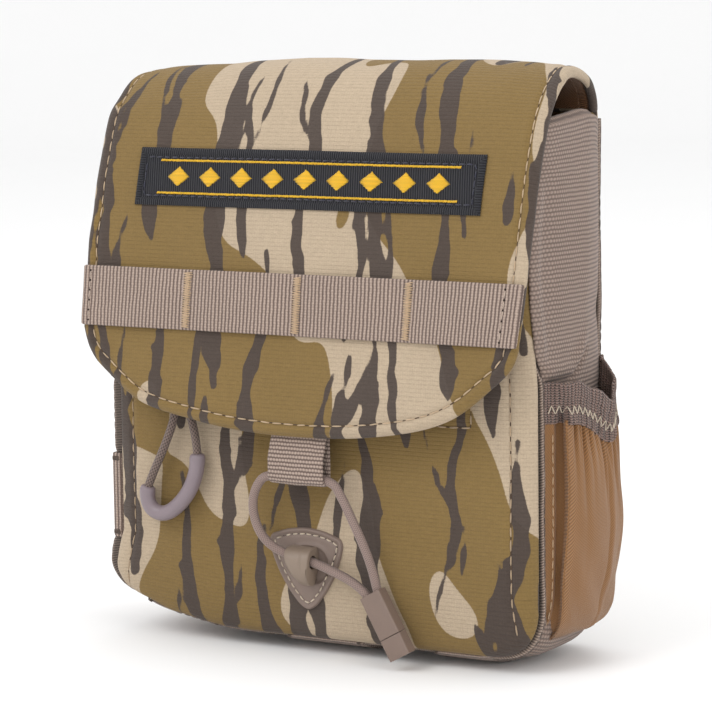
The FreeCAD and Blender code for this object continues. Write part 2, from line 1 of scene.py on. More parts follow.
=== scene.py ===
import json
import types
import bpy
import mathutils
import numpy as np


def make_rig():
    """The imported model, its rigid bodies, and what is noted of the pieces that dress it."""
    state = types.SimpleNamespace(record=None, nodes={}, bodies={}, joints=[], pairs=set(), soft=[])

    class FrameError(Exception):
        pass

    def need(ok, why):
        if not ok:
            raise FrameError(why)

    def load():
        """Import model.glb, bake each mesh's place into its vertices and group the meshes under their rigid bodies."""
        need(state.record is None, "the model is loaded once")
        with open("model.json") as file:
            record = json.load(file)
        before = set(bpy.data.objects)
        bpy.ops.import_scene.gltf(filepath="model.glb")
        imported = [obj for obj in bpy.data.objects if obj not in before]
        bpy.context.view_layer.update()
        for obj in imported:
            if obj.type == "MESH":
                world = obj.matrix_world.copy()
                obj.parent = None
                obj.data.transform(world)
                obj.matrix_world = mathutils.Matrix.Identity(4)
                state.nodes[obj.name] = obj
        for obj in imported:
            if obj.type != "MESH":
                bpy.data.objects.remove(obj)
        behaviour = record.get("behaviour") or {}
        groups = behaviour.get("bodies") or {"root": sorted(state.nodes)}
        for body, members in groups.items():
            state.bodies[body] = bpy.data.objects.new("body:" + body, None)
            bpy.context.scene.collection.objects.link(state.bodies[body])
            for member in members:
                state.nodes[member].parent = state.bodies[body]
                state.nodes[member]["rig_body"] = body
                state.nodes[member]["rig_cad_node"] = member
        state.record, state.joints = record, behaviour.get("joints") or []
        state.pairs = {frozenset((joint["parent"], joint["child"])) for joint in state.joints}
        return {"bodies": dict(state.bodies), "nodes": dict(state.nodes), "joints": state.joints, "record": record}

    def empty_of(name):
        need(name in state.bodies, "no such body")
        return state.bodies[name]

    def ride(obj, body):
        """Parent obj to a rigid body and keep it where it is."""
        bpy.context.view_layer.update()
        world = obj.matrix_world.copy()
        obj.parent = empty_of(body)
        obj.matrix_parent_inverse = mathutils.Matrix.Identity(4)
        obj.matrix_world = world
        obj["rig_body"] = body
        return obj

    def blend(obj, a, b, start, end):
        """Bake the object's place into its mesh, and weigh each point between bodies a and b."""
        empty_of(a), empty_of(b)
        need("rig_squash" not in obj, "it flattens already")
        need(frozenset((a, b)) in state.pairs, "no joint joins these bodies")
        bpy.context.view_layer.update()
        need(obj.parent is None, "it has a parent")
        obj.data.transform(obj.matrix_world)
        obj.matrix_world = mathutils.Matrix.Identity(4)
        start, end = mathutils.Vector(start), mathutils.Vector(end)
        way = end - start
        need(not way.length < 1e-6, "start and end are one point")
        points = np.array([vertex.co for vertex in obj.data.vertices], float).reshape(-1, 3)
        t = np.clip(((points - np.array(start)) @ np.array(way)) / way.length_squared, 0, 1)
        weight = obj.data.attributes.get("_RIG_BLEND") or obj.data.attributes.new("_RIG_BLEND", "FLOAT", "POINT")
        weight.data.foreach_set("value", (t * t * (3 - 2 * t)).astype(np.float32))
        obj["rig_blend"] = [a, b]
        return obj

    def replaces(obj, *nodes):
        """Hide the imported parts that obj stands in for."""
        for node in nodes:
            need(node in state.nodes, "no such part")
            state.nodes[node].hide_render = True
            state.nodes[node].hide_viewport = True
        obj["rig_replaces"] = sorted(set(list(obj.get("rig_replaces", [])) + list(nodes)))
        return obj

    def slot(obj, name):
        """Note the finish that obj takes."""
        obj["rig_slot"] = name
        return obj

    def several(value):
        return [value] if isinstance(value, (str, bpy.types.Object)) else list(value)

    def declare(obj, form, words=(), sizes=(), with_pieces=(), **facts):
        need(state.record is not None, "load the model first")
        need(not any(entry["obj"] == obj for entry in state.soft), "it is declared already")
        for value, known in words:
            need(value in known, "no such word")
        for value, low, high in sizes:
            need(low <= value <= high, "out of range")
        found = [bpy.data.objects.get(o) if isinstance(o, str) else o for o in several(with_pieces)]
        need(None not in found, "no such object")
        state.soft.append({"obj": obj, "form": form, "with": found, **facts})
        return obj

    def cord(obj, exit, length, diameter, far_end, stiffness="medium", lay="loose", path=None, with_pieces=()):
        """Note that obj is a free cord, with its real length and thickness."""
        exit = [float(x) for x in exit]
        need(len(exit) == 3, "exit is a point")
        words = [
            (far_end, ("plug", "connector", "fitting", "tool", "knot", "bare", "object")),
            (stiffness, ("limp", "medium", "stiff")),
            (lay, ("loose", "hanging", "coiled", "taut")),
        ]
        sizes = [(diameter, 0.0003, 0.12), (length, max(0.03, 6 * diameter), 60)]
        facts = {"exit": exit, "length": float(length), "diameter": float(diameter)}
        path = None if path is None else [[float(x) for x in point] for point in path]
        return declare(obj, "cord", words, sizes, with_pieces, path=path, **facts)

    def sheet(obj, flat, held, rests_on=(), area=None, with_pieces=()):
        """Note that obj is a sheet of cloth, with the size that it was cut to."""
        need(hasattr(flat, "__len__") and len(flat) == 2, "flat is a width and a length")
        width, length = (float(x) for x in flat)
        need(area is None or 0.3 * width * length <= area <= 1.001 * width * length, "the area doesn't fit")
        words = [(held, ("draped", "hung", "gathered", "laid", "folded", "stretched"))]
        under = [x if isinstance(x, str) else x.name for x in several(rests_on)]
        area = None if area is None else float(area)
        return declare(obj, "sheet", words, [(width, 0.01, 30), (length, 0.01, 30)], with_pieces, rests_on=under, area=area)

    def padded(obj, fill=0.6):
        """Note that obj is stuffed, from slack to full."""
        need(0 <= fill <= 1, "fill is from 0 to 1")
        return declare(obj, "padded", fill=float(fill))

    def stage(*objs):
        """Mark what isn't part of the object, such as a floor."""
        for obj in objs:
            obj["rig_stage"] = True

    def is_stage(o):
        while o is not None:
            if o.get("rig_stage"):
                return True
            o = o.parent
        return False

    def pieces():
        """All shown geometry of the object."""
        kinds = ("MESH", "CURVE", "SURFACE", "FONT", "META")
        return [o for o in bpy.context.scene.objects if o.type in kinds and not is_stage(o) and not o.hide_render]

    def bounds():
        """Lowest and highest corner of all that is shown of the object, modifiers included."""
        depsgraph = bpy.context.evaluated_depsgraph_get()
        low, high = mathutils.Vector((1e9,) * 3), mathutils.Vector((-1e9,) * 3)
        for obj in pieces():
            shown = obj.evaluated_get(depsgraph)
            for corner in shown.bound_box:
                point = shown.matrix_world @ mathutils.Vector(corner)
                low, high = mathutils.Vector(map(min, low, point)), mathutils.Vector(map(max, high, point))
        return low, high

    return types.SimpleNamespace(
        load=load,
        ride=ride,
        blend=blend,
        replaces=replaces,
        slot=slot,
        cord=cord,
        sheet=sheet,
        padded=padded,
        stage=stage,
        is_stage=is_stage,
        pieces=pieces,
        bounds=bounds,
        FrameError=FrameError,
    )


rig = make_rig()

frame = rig.load()

import json
import math
import random

import bmesh
import bpy
import numpy as np
from mathutils import Matrix, Vector

CAD_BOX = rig.bounds()
scene = bpy.context.scene

# Everything below is laid out in millimetres about the middle of the pouch body
# and shifted into the row frame here.
OX, OY = -4.09, 6.28


def to_row(p):
    return (np.asarray(p, float) + np.array([OX, OY, 0.0])) / 1000.0


# ------------------------------------------------------------------ mesh tools
def spline(pts, n=400):
    """Natural cubic spline through points, resampled evenly by length."""
    p = np.asarray(pts, float)
    d = np.linalg.norm(np.diff(p, axis=0), axis=1)
    t = np.concatenate([[0], np.cumsum(d)])
    k = len(p)
    h = np.diff(t)
    A = np.zeros((k, k))
    B = np.zeros((k, p.shape[1]))
    A[0, 0] = A[-1, -1] = 1
    for i in range(1, k - 1):
        A[i, i - 1], A[i, i], A[i, i + 1] = h[i - 1], 2 * (h[i - 1] + h[i]), h[i]
        B[i] = 6 * ((p[i + 1] - p[i]) / h[i] - (p[i] - p[i - 1]) / h[i - 1])
    m = np.linalg.solve(A, B)
    q = np.linspace(0, t[-1], n * 2)
    i = np.clip(np.searchsorted(t, q) - 1, 0, k - 2)
    a = (t[i + 1] - q)[:, None]
    b = (q - t[i])[:, None]
    hi = h[i][:, None]
    c = (m[i] * a ** 3 + m[i + 1] * b ** 3) / (6 * hi) + (p[i] / hi - m[i] * hi / 6) * a + (p[i + 1] / hi - m[i + 1] * hi / 6) * b
    return even(c, n)


def even(pts, n):
    p = np.asarray(pts, float)
    s = np.concatenate([[0], np.cumsum(np.linalg.norm(np.diff(p, axis=0), axis=1))])
    q = np.linspace(0, s[-1], n)
    return np.stack([np.interp(q, s, p[:, k]) for k in range(p.shape[1])], 1)


def length(pts):
    return float(np.linalg.norm(np.diff(np.asarray(pts, float), axis=0), axis=1).sum())


def rounded(pts, r=2.0, n=6):
    """Polyline with its corners turned into small curves."""
    p = [np.asarray(q, float) for q in pts]
    out = [p[0]]
    for a, b, c in zip(p, p[1:], p[2:]):
        u, w = a - b, c - b
        lu, lw = np.linalg.norm(u), np.linalg.norm(w)
        t = min(r, lu * 0.45, lw * 0.45)
        s, e = b + u / lu * t, b + w / lw * t
        for k in range(n + 1):
            f = k / n
            out.append((1 - f) ** 2 * s + 2 * f * (1 - f) * b + f * f * e)
    out.append(p[-1])
    return np.array(out)


def waves(seed, n=7, low=18.0, high=70.0):
    """A smooth, repeatable wobble of about unit size over two coordinates."""
    r = random.Random(seed)
    w = [(r.uniform(0, 2 * math.pi), 2 * math.pi / r.uniform(low, high), r.uniform(0, 2 * math.pi), r.uniform(0.5, 1)) for _ in range(n)]

    def f(x, y):
        v = 0
        for a, k, ph, g in w:
            v = v + g * np.sin(k * (np.cos(a) * x + np.sin(a) * y) + ph)
        return v / (n * 0.45)
    return f


def grid_faces(ni, nj, keep=None, flip=False):
    out = []
    for i in range(ni - 1):
        for j in range(nj - 1):
            if keep is None or keep[i, j]:
                a, b = i * nj + j, (i + 1) * nj + j
                q = (a, b, b + 1, a + 1)
                out.append(q[::-1] if flip else q)
    return out


def normals_of(V, Fc):
    A = np.array(Fc)
    n = np.cross(V[A[:, 2]] - V[A[:, 0]], V[A[:, 3]] - V[A[:, 1]])
    N = np.zeros_like(V)
    for k in range(4):
        np.add.at(N, A[:, k], n)
    l = np.linalg.norm(N, axis=1)
    l[l == 0] = 1
    return N / l[:, None]


def make(name, verts, faces, mats, fmat=None, attrs=None, smooth=True):
    me = bpy.data.meshes.new(name)
    me.from_pydata(to_row(verts).tolist(), [], [tuple(int(i) for i in f) for f in faces])
    for m in (mats if isinstance(mats, (list, tuple)) else [mats]):
        me.materials.append(m)
    if fmat is not None:
        me.polygons.foreach_set("material_index", np.asarray(fmat, np.int32))
    me.polygons.foreach_set("use_smooth", np.full(len(me.polygons), smooth))
    for k, a in (attrs or {}).items():
        a = np.asarray(a, np.float32)
        if a.ndim == 2:
            me.attributes.new(k, "FLOAT_VECTOR", "POINT").data.foreach_set("vector", a.ravel())
        else:
            me.attributes.new(k, "FLOAT", "POINT").data.foreach_set("value", a)
    me.update()
    ob = bpy.data.objects.new(name, me)
    scene.collection.objects.link(ob)
    return ob


def thick(name, V, faces, t, pat, mats, bulge=0.5, rings=3, edge=None, inner_t=None):
    """Closed cloth: V is its outer surface, t its thickness, with a rounded rim.
    Materials: 0 outside and rim, 1 inside if there is one."""
    V = np.asarray(V, float)
    pat = np.asarray(pat, float)
    used = np.zeros(len(V), bool)
    used[np.array(faces).ravel()] = True
    remap = np.cumsum(used) - 1
    V, pat = V[used], pat[used]
    if edge is not None:
        edge = np.asarray(edge, float)[used]
    if hasattr(t, "__len__"):
        t = np.asarray(t, float)[used]
    else:
        t = np.full(len(V), float(t))
    faces = [tuple(remap[i] for i in f) for f in faces]
    N = normals_of(V, faces)
    I = V - N * t[:, None]
    half = {}
    for fi, f in enumerate(faces):
        for a, b in zip(f, f[1:] + f[:1]):
            half[(a, b)] = fi
    rim = [(e, fi) for e, fi in half.items() if (e[1], e[0]) not in half]
    out = {}
    pout = {}
    for (a, b), fi in rim:
        o = np.cross(V[b] - V[a], N[a] + N[b])
        e2 = (pat[b] - pat[a])[:2]
        o2 = np.array([e2[1], -e2[0]])
        c2 = pat[list(faces[fi])].mean(0)[:2] - (pat[a] + pat[b])[:2] / 2
        if o2 @ c2 > 0:
            o2 = -o2
        for v in (a, b):
            out[v] = out.get(v, 0) + o / (np.linalg.norm(o) or 1)
            pout[v] = pout.get(v, 0) + o2 / (np.linalg.norm(o2) or 1)
    n = len(V)
    verts, pats = [V, I], [pat, pat]
    edges = [edge, edge] if edge is not None else None
    at = {}
    ids = sorted(out)
    base = 2 * n
    for k in range(rings):
        g = math.pi * (k + 1) / (rings + 1)
        P = np.zeros((len(ids), 3))
        Q = np.zeros((len(ids), 3))
        for m, v in enumerate(ids):
            o = out[v] / (np.linalg.norm(out[v]) or 1)
            o2 = pout[v] / (np.linalg.norm(pout[v]) or 1)
            c = (V[v] + I[v]) / 2
            P[m] = c + N[v] * t[v] / 2 * math.cos(g) + o * t[v] * bulge * math.sin(g)
            Q[m] = pat[v]
            Q[m][:2] += o2 * t[v] * (k + 1) / (rings + 1) * 1.2
            at[(v, k)] = base + m
        base += len(ids)
        verts.append(P)
        pats.append(Q)
        if edges is not None:
            edges.append(np.zeros(len(ids)))
    fs = list(faces)
    fm = [0] * len(fs)
    two = len(mats) > 1 if isinstance(mats, (list, tuple)) else False
    for f in faces:
        fs.append(tuple(n + i for i in f[::-1]))
        fm.append(1 if two else 0)
    for (a, b), fi in rim:
        ra = [a] + [at[(a, k)] for k in range(rings)] + [n + a]
        rb = [b] + [at[(b, k)] for k in range(rings)] + [n + b]
        for k in range(rings + 1):
            fs.append((rb[k], ra[k], ra[k + 1], rb[k + 1]))
            fm.append(0)
    attrs = {"pat": np.concatenate(pats)}
    if edges is not None:
        attrs["edge"] = np.concatenate(edges)
    return make(name, np.concatenate(verts), fs, mats, fm, attrs)


def frames_along(p):
    """Tangent and two side vectors at each point of a path, without twist."""
    p = np.asarray(p, float)
    T = np.gradient(p, axis=0)
    T /= np.linalg.norm(T, axis=1)[:, None]
    s = np.cross(T[0], [0, 1, 0.01])
    s /= np.linalg.norm(s)
    S = []
    for t in T:
        s = s - t * (s @ t)
        s /= np.linalg.norm(s)
        S.append(s)
    S = np.array(S)
    return T, S, np.cross(T, S)


def sweep(name, path, section, mats, caps=True, pat_off=(0, 0, 0), scale=None, frame_vectors=None, closed=False):
    """A closed section of (a, b) pairs swept along a path."""
    p = np.asarray(path, float)
    T, S, B = frame_vectors if frame_vectors else frames_along(p)
    sec = np.asarray(section, float)
    m = len(sec)
    sc = np.ones(len(p)) if scale is None else np.asarray(scale, float)
    V = (p[:, None, :] + (S[:, None, :] * sec[None, :, 0, None] + B[:, None, :] * sec[None, :, 1, None]) * sc[:, None, None])
    around = np.concatenate([[0], np.cumsum(np.linalg.norm(np.diff(np.vstack([sec, sec[:1]]), axis=0), axis=1))])[:-1]
    along = np.concatenate([[0], np.cumsum(np.linalg.norm(np.diff(p, axis=0), axis=1))])
    pat = np.zeros((len(p), m, 3))
    pat[..., 0] = around[None, :]
    pat[..., 1] = along[:, None]
    pat += np.asarray(pat_off, float)
    V, pat = V.reshape(-1, 3), pat.reshape(-1, 3)
    faces = []
    for i in range(len(p) - 1):
        for j in range(m):
            k = (j + 1) % m
            faces.append((i * m + j, i * m + k, (i + 1) * m + k, (i + 1) * m + j))
    if caps:
        faces.append(tuple(range(m))[::-1])
        faces.append(tuple((len(p) - 1) * m + j for j in range(m)))
    ob = make(name, V, faces, mats, None, {"pat": pat})
    fix_normals(ob)
    return ob


def fix_normals(ob):
    bm = bmesh.new()
    bm.from_mesh(ob.data)
    bmesh.ops.recalc_face_normals(bm, faces=bm.faces)
    bm.to_mesh(ob.data)
    bm.free()
    ob.data.update()


def ring_section(r, n=16):
    return [(r * math.cos(2 * math.pi * k / n), r * math.sin(2 * math.pi * k / n)) for k in range(n)]


class Thread:
    """Collects short raised stitches into one mesh."""

    def __init__(self, sides=6):
        self.v, self.f, self.p, self.sides = [], [], [], sides

    def stitch(self, a, b, n, d=0.55, lift=0.25, flat=0.8):
        a, b, n = (np.asarray(q, float) for q in (a, b, n))
        L = np.linalg.norm(b - a)
        if L < 1e-6:
            return
        t = (b - a) / L
        n = n - t * (n @ t)
        n /= np.linalg.norm(n) or 1
        s = np.cross(t, n)
        base = len(self.v)
        fr = [(0, 0.25), (0.08, 0.75), (0.28, 1), (0.5, 1.05), (0.72, 1), (0.92, 0.75), (1, 0.25)]
        for f, r in fr:
            c = a + (b - a) * f + n * lift * (1 - (2 * f - 1) ** 2)
            for k in range(self.sides):
                g = 2 * math.pi * k / self.sides
                self.v.append(c + s * math.cos(g) * d / 2 * r + n * math.sin(g) * d / 2 * r * flat)
                self.p.append((g / (2 * math.pi) * d * 3, f * L, base * 0.013))
        m = self.sides
        for i in range(len(fr) - 1):
            for k in range(m):
                q = (k + 1) % m
                self.f.append((base + i * m + k, base + i * m + q, base + (i + 1) * m + q, base + (i + 1) * m + k))
        self.f.append(tuple(base + k for k in range(m))[::-1])
        self.f.append(tuple(base + (len(fr) - 1) * m + k for k in range(m)))

    def run(self, pts, nrm, pitch=5.0, size=3.7, d=0.55, lift=0.25, start=0.6, seed=1, jitter=0.12, holes=None):
        r = random.Random(seed)
        p = np.asarray(pts, float)
        nn = np.asarray(nrm, float)
        s = np.concatenate([[0], np.cumsum(np.linalg.norm(np.diff(p, axis=0), axis=1))])

        def at(q):
            return (np.array([np.interp(q, s, p[:, k]) for k in range(3)]), np.array([np.interp(q, s, nn[:, k]) for k in range(3)]))
        q = start
        while q + size < s[-1]:
            l = size * (1 + r.uniform(-jitter, jitter))
            a, na = at(q)
            b, _ = at(q + l)
            side = np.cross(b - a, na)
            side /= np.linalg.norm(side) or 1
            w = r.uniform(-0.12, 0.12)
            self.stitch(a + side * w, b - side * w, na, d, lift)
            if holes is not None:
                # painted shade: a dark dash sunk into the dimple between two stitches, where the needle goes through
                g0, ng = at(q + l - 0.15)
                g1, _ = at(min(q + pitch + 0.1, s[-1]))
                holes.stitch(g0 - ng * 0.10, g1 - ng * 0.10, ng, d * r.uniform(0.8, 1.05), 0.03)
            q += pitch

    def done(self, name, mat, body):
        ob = make(name, np.array(self.v), self.f, mat, None, {"pat": np.array(self.p)})
        fix_normals(ob)
        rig.ride(ob, body)
        return ob


def place(ob, body, slot=None, replaces=()):
    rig.ride(ob, body)
    if slot:
        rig.slot(ob, slot)
    if replaces:
        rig.replaces(ob, *replaces)
    return ob


# -------------------------------------------------------------------- materials
class Mat:
    def __init__(self, name, rough=0.85, sheen=0.0, spec=0.3, metal=0.0, sheen_tint=(1, 1, 1, 1), sheen_rough=0.5, coat=0.0):
        self.m = bpy.data.materials.new(name)
        self.m.use_nodes = True
        self.t = self.m.node_tree
        self.t.nodes.clear()
        self.out = self.t.nodes.new("ShaderNodeOutputMaterial")
        self.b = self.t.nodes.new("ShaderNodeBsdfPrincipled")
        self.t.links.new(self.b.outputs[0], self.out.inputs[0])
        self.b.inputs["Roughness"].default_value = rough
        self.b.inputs["Specular IOR Level"].default_value = spec
        self.b.inputs["Metallic"].default_value = metal
        self.b.inputs["Sheen Weight"].default_value = sheen
        self.b.inputs["Sheen Tint"].default_value = sheen_tint
        self.b.inputs["Sheen Roughness"].default_value = sheen_rough
        self.b.inputs["Coat Weight"].default_value = coat

    def put(self, sock, v):
        if isinstance(v, bpy.types.Node):
            v = v.outputs[0]
        if isinstance(v, bpy.types.NodeSocket):
            self.t.links.new(v, sock)
        elif isinstance(v, (tuple, list)) and len(v) == 3 and sock.type == "RGBA":
            sock.default_value = (*v, 1)
        else:
            sock.default_value = v

    def n(self, kind, ins=None, **props):
        nd = self.t.nodes.new(kind)
        for k, v in props.items():
            setattr(nd, k, v)
        for k, v in (ins or {}).items():
            self.put(nd.inputs[k], v)
        return nd

    def attr(self, name, vector=True):
        a = self.n("ShaderNodeAttribute", attribute_name=name)
        return a.outputs["Vector"] if vector else a.outputs["Fac"]

    def obj_mm(self):
        return self.vmul(self.n("ShaderNodeTexCoord").outputs["Object"], (1000, 1000, 1000))

    def math(self, op, a, b=0.0, c=0.0, clamp=False):
        return self.n("ShaderNodeMath", {0: a, 1: b, 2: c}, operation=op, use_clamp=clamp).outputs[0]

    def add(self, a, b):
        return self.math("ADD", a, b)

    def mul(self, a, b):
        return self.math("MULTIPLY", a, b)

    def sub(self, a, b):
        return self.math("SUBTRACT", a, b)

    def mx(self, a, b):
        return self.math("MAXIMUM", a, b)

    def vmul(self, a, v):
        return self.n("ShaderNodeVectorMath", {0: a, 1: v}, operation="MULTIPLY").outputs[0]

    def vadd(self, a, v):
        return self.n("ShaderNodeVectorMath", {0: a, 1: v}, operation="ADD").outputs[0]

    def vsub(self, a, v):
        return self.n("ShaderNodeVectorMath", {0: a, 1: v}, operation="SUBTRACT").outputs[0]

    def xyz(self, v):
        s = self.n("ShaderNodeSeparateXYZ", {0: v})
        return s.outputs[0], s.outputs[1], s.outputs[2]

    def comb(self, x, y, z=0.0):
        return self.n("ShaderNodeCombineXYZ", {0: x, 1: y, 2: z}).outputs[0]

    def noise(self, v, scale=1.0, detail=2.0, rough=0.5, lac=2.0):
        return self.n("ShaderNodeTexNoise", {"Vector": v, "Scale": scale, "Detail": detail, "Roughness": rough, "Lacunarity": lac}, noise_dimensions="3D").outputs[0]

    def step(self, v, lo, hi, a=0.0, b=1.0):
        return self.n("ShaderNodeMapRange", {"Value": v, "From Min": lo, "From Max": hi, "To Min": a, "To Max": b}, interpolation_type="SMOOTHSTEP").outputs[0]

    def mix(self, f, a, b):
        nd = self.n("ShaderNodeMix", data_type="RGBA")
        self.put(nd.inputs[0], f)
        self.put(nd.inputs[6], a)
        self.put(nd.inputs[7], b)
        return nd.outputs[2]

    def shade(self, col, f):
        """Multiply a colour by a number."""
        nd = self.n("ShaderNodeMix", data_type="RGBA", blend_type="MULTIPLY")
        self.put(nd.inputs[0], 1.0)
        self.put(nd.inputs[6], col)
        self.put(nd.inputs[7], self.comb(f, f, f))
        return nd.outputs[2]

    def finish(self, col, height=None, dist=0.0003, strength=1.0, rough=None):
        self.put(self.b.inputs["Base Color"], col)
        if rough is not None:
            self.put(self.b.inputs["Roughness"], rough)
        if height is not None:
            bp = self.n("ShaderNodeBump", {"Strength": strength, "Distance": dist, "Height": height})
            self.t.links.new(bp.outputs[0], self.b.inputs["Normal"])
        return self.m


def srgb(h, k=1.0):
    h = h.lstrip("#")
    c = [int(h[i:i + 2], 16) / 255 for i in (0, 2, 4)]
    return tuple(k * (x / 12.92 if x <= 0.04045 else ((x + 0.055) / 1.055) ** 2.4) for x in c)


TAN, OLIVE, BARK = srgb("#B2A089"), srgb("#7D663D"), srgb("#493F3A")


def camo(name):
    """Brushed cloth with a print of a tan ground, rounded olive patches and dark bark strokes.
    The outlines of the print are distances in mm kept at the mesh's points."""
    m = Mat(name, rough=0.92, sheen=0.10, spec=0.12, sheen_rough=0.6)
    P = m.attr("pat")
    px, py, _ = m.xyz(P)
    fine = m.sub(m.noise(m.vmul(P, (1.4, 1.4, 0)), 1, 2.0, 0.6), 0.5)
    bark = m.step(m.add(m.attr("bark", False), m.mul(fine, 0.30)), -0.15, 0.15)
    olive = m.step(m.add(m.attr("olive", False), m.mul(fine, 0.45)), -0.2, 0.2)
    grain = m.noise(m.vmul(P, (2.3, 1.6, 0)), 1, 3.0, 0.7)
    fibre = m.noise(m.vmul(P, (0.9, 3.2, 0)), 1, 2.0, 0.6)
    broken = m.noise(m.vmul(P, (0.8, 0.35, 0)), 1, 1.0, 0.5)
    rib = m.math("COSINE", m.mul(py, 2 * math.pi / 1.43))
    line = m.math("POWER", m.add(m.mul(rib, 0.5), 0.5), 4.0)
    warp = m.math("COSINE", m.mul(px, 2 * math.pi / 0.95))
    big = m.noise(m.vmul(P, (1 / 40, 1 / 40, 0)), 1, 1.0)
    col = m.mix(olive, TAN, OLIVE)
    col = m.mix(m.mul(bark, 0.97), col, BARK)
    f = m.add(m.mul(m.sub(grain, 0.5), 0.46), m.mul(m.sub(fibre, 0.5), 0.34))
    f = m.sub(f, m.mul(m.mul(line, broken), 0.15))
    f = m.add(f, m.mul(warp, 0.018))
    f = m.add(f, m.mul(m.sub(big, 0.5), 0.14))
    f = m.add(f, m.mul(m.sub(m.noise(m.vmul(P, (0.42, 0.5, 0)), 1, 2.0, 0.6), 0.5), 0.20))
    col = m.shade(col, m.add(1.03, f))
    h = m.add(m.mul(line, -0.30), m.mul(m.add(grain, fibre), 0.62))
    return m.finish(col, h, 0.00034)


CELL = 0.5


def soft_field(seed, nx, ny, sx, sy):
    """Smooth random field with bumps about sx by sy millimetres, of unit spread."""
    r = np.random.RandomState(seed)
    f = np.fft.rfft2(r.standard_normal((nx, ny)))
    kx = np.fft.fftfreq(nx, CELL)[:, None]
    ky = np.fft.rfftfreq(ny, CELL)[None, :]
    g = np.fft.irfft2(f * np.exp(-2 * (math.pi ** 2) * ((kx * sx) ** 2 + (ky * sy) ** 2)), (nx, ny))
    return (g - g.mean()) / g.std()


def print_field(seed, w, h, ground=0.47, spread=1.0, patches=None):
    """Signed distances in mm, positive inside, to the bark strokes and the olive patches
    printed on a w by h sheet."""
    patches = seed if patches is None else patches
    pad = 24.0
    nx, ny = int((w + 2 * pad) / CELL), int((h + 2 * pad) / CELL)
    bark = np.full((nx, ny), -4.0)
    r = random.Random(seed)

    def stamp(x, y, rad):
        R = rad + 4.0
        i0, i1 = max(0, int((x - R + pad) / CELL)), min(nx, int((x + R + pad) / CELL) + 2)
        j0, j1 = max(0, int((y - R + pad) / CELL)), min(ny, int((y + R + pad) / CELL) + 2)
        if i0 >= i1 or j0 >= j1:
            return
        gx = (np.arange(i0, i1) * CELL - pad - x)[:, None]
        gy = (np.arange(j0, j1) * CELL - pad - y)[None, :]
        np.maximum(bark[i0:i1, j0:j1], rad - np.sqrt(gx * gx + gy * gy), out=bark[i0:i1, j0:j1])

    def limb(x, y, ang, L, width, depth=0, up=1):
        n = max(4, int(L / 0.7))
        ph = [r.uniform(0, 6.3) for _ in range(2)]
        l1 = r.uniform(38, 70)
        kd = [0.0]
        while kd[-1] < L + 20:
            kd.append(kd[-1] + r.uniform(2.2, 9.0))
        kv = [r.uniform(-1, 1) for _ in kd]
        kw = [r.uniform(-1, 1) for _ in kd]
        forks = []
        if depth == 0:
            forks = sorted((r.uniform(0.12, 0.82), r.choice((-1, 1)), r.choice((1, 1, -1))) for _ in range(r.choice((0, 1, 1, 2, 2))))
        a0 = ang
        for i in range(n + 1):
            d, t = i * 0.7, i / n
            a = a0 + 0.14 * math.sin(2 * math.pi * d / l1 + ph[0]) + 0.20 * float(np.interp(d, kd, kw))
            if depth:
                a0 *= 0.970                    # a twig turns back towards the trunk's direction
            x += 0.7 * math.sin(a)
            y += 0.7 * math.cos(a) * up
            head = min(1.0, d / (width * 1.1) + 0.25) ** 0.6 if depth == 0 else 1.0
            tail = min(1.0, (1 - t) * L / (width * 3.0 + L * 0.30) + 0.10) ** 0.75
            knob = 0.31 * float(np.interp(d, kd, kv)) + 0.14 * math.sin(2 * math.pi * d / 31.0 + ph[1])
            rad = max(0.45, width / 2 * head * tail * (1 + knob))
            stamp(x, y, rad)
            if depth == 0 and rad > 1.2 and r.random() < 0.035:      # a knuckle on one side
                stamp(x + r.choice((-1, 1)) * rad * 0.75, y, rad * r.uniform(0.45, 0.75))
            while forks and t >= forks[0][0]:
                _, side, way = forks.pop(0)
                limb(x, y, side * r.uniform(0.35, 0.62) + (a if way > 0 else 0), r.uniform(20, 52), max(1.9, min(width * r.uniform(0.40, 0.68), 4.4)), 1, way)

    # main limbs in loose columns, then short twigs between them
    x = -pad * 0.6
    while x < w + pad * 0.6:
        y = -pad - r.uniform(0, 60)
        while y < h + pad:
            L = r.uniform(62, 150)
            limb(x + r.uniform(-6.0, 6.0), y, r.uniform(-0.12, 0.12), L, r.choice((3.2, 4.2, 5.2, 5.8, 6.6, 7.4)) * r.uniform(0.9, 1.1))
            y += L * r.uniform(0.86, 1.0) + r.uniform(4, 18)
        x += r.uniform(16.0, 22.5) * spread
    for _ in range(int((w + 40) * (h + 40) / 3600)):
        limb(r.uniform(-20, w + 20), r.uniform(-20, h + 20), r.uniform(-0.2, 0.2), r.uniform(14, 40), r.uniform(2.0, 3.4), 2)
    # round off the crotches a little
    kx = np.fft.fftfreq(nx, CELL)[:, None]
    ky = np.fft.rfftfreq(ny, CELL)[None, :]
    bark = np.fft.irfft2(np.fft.rfft2(bark) * np.exp(-2 * (math.pi ** 2) * ((kx * 0.6) ** 2 + (ky * 0.6) ** 2)), (nx, ny))
    bark = bark + 0.20 * soft_field(seed + 5, nx, ny, 0.8, 1.6)
    # rounded patches, taller than they are wide
    f = soft_field(patches + 1, nx, ny, 11.5, 24.0) + 0.34 * soft_field(patches + 2, nx, ny, 6.0, 10.0)
    f = f - np.quantile(f, ground)
    gx, gy = np.gradient(f, CELL)
    return bark, np.clip(f / np.maximum(np.hypot(gx, gy), 0.02), -6, 6), pad


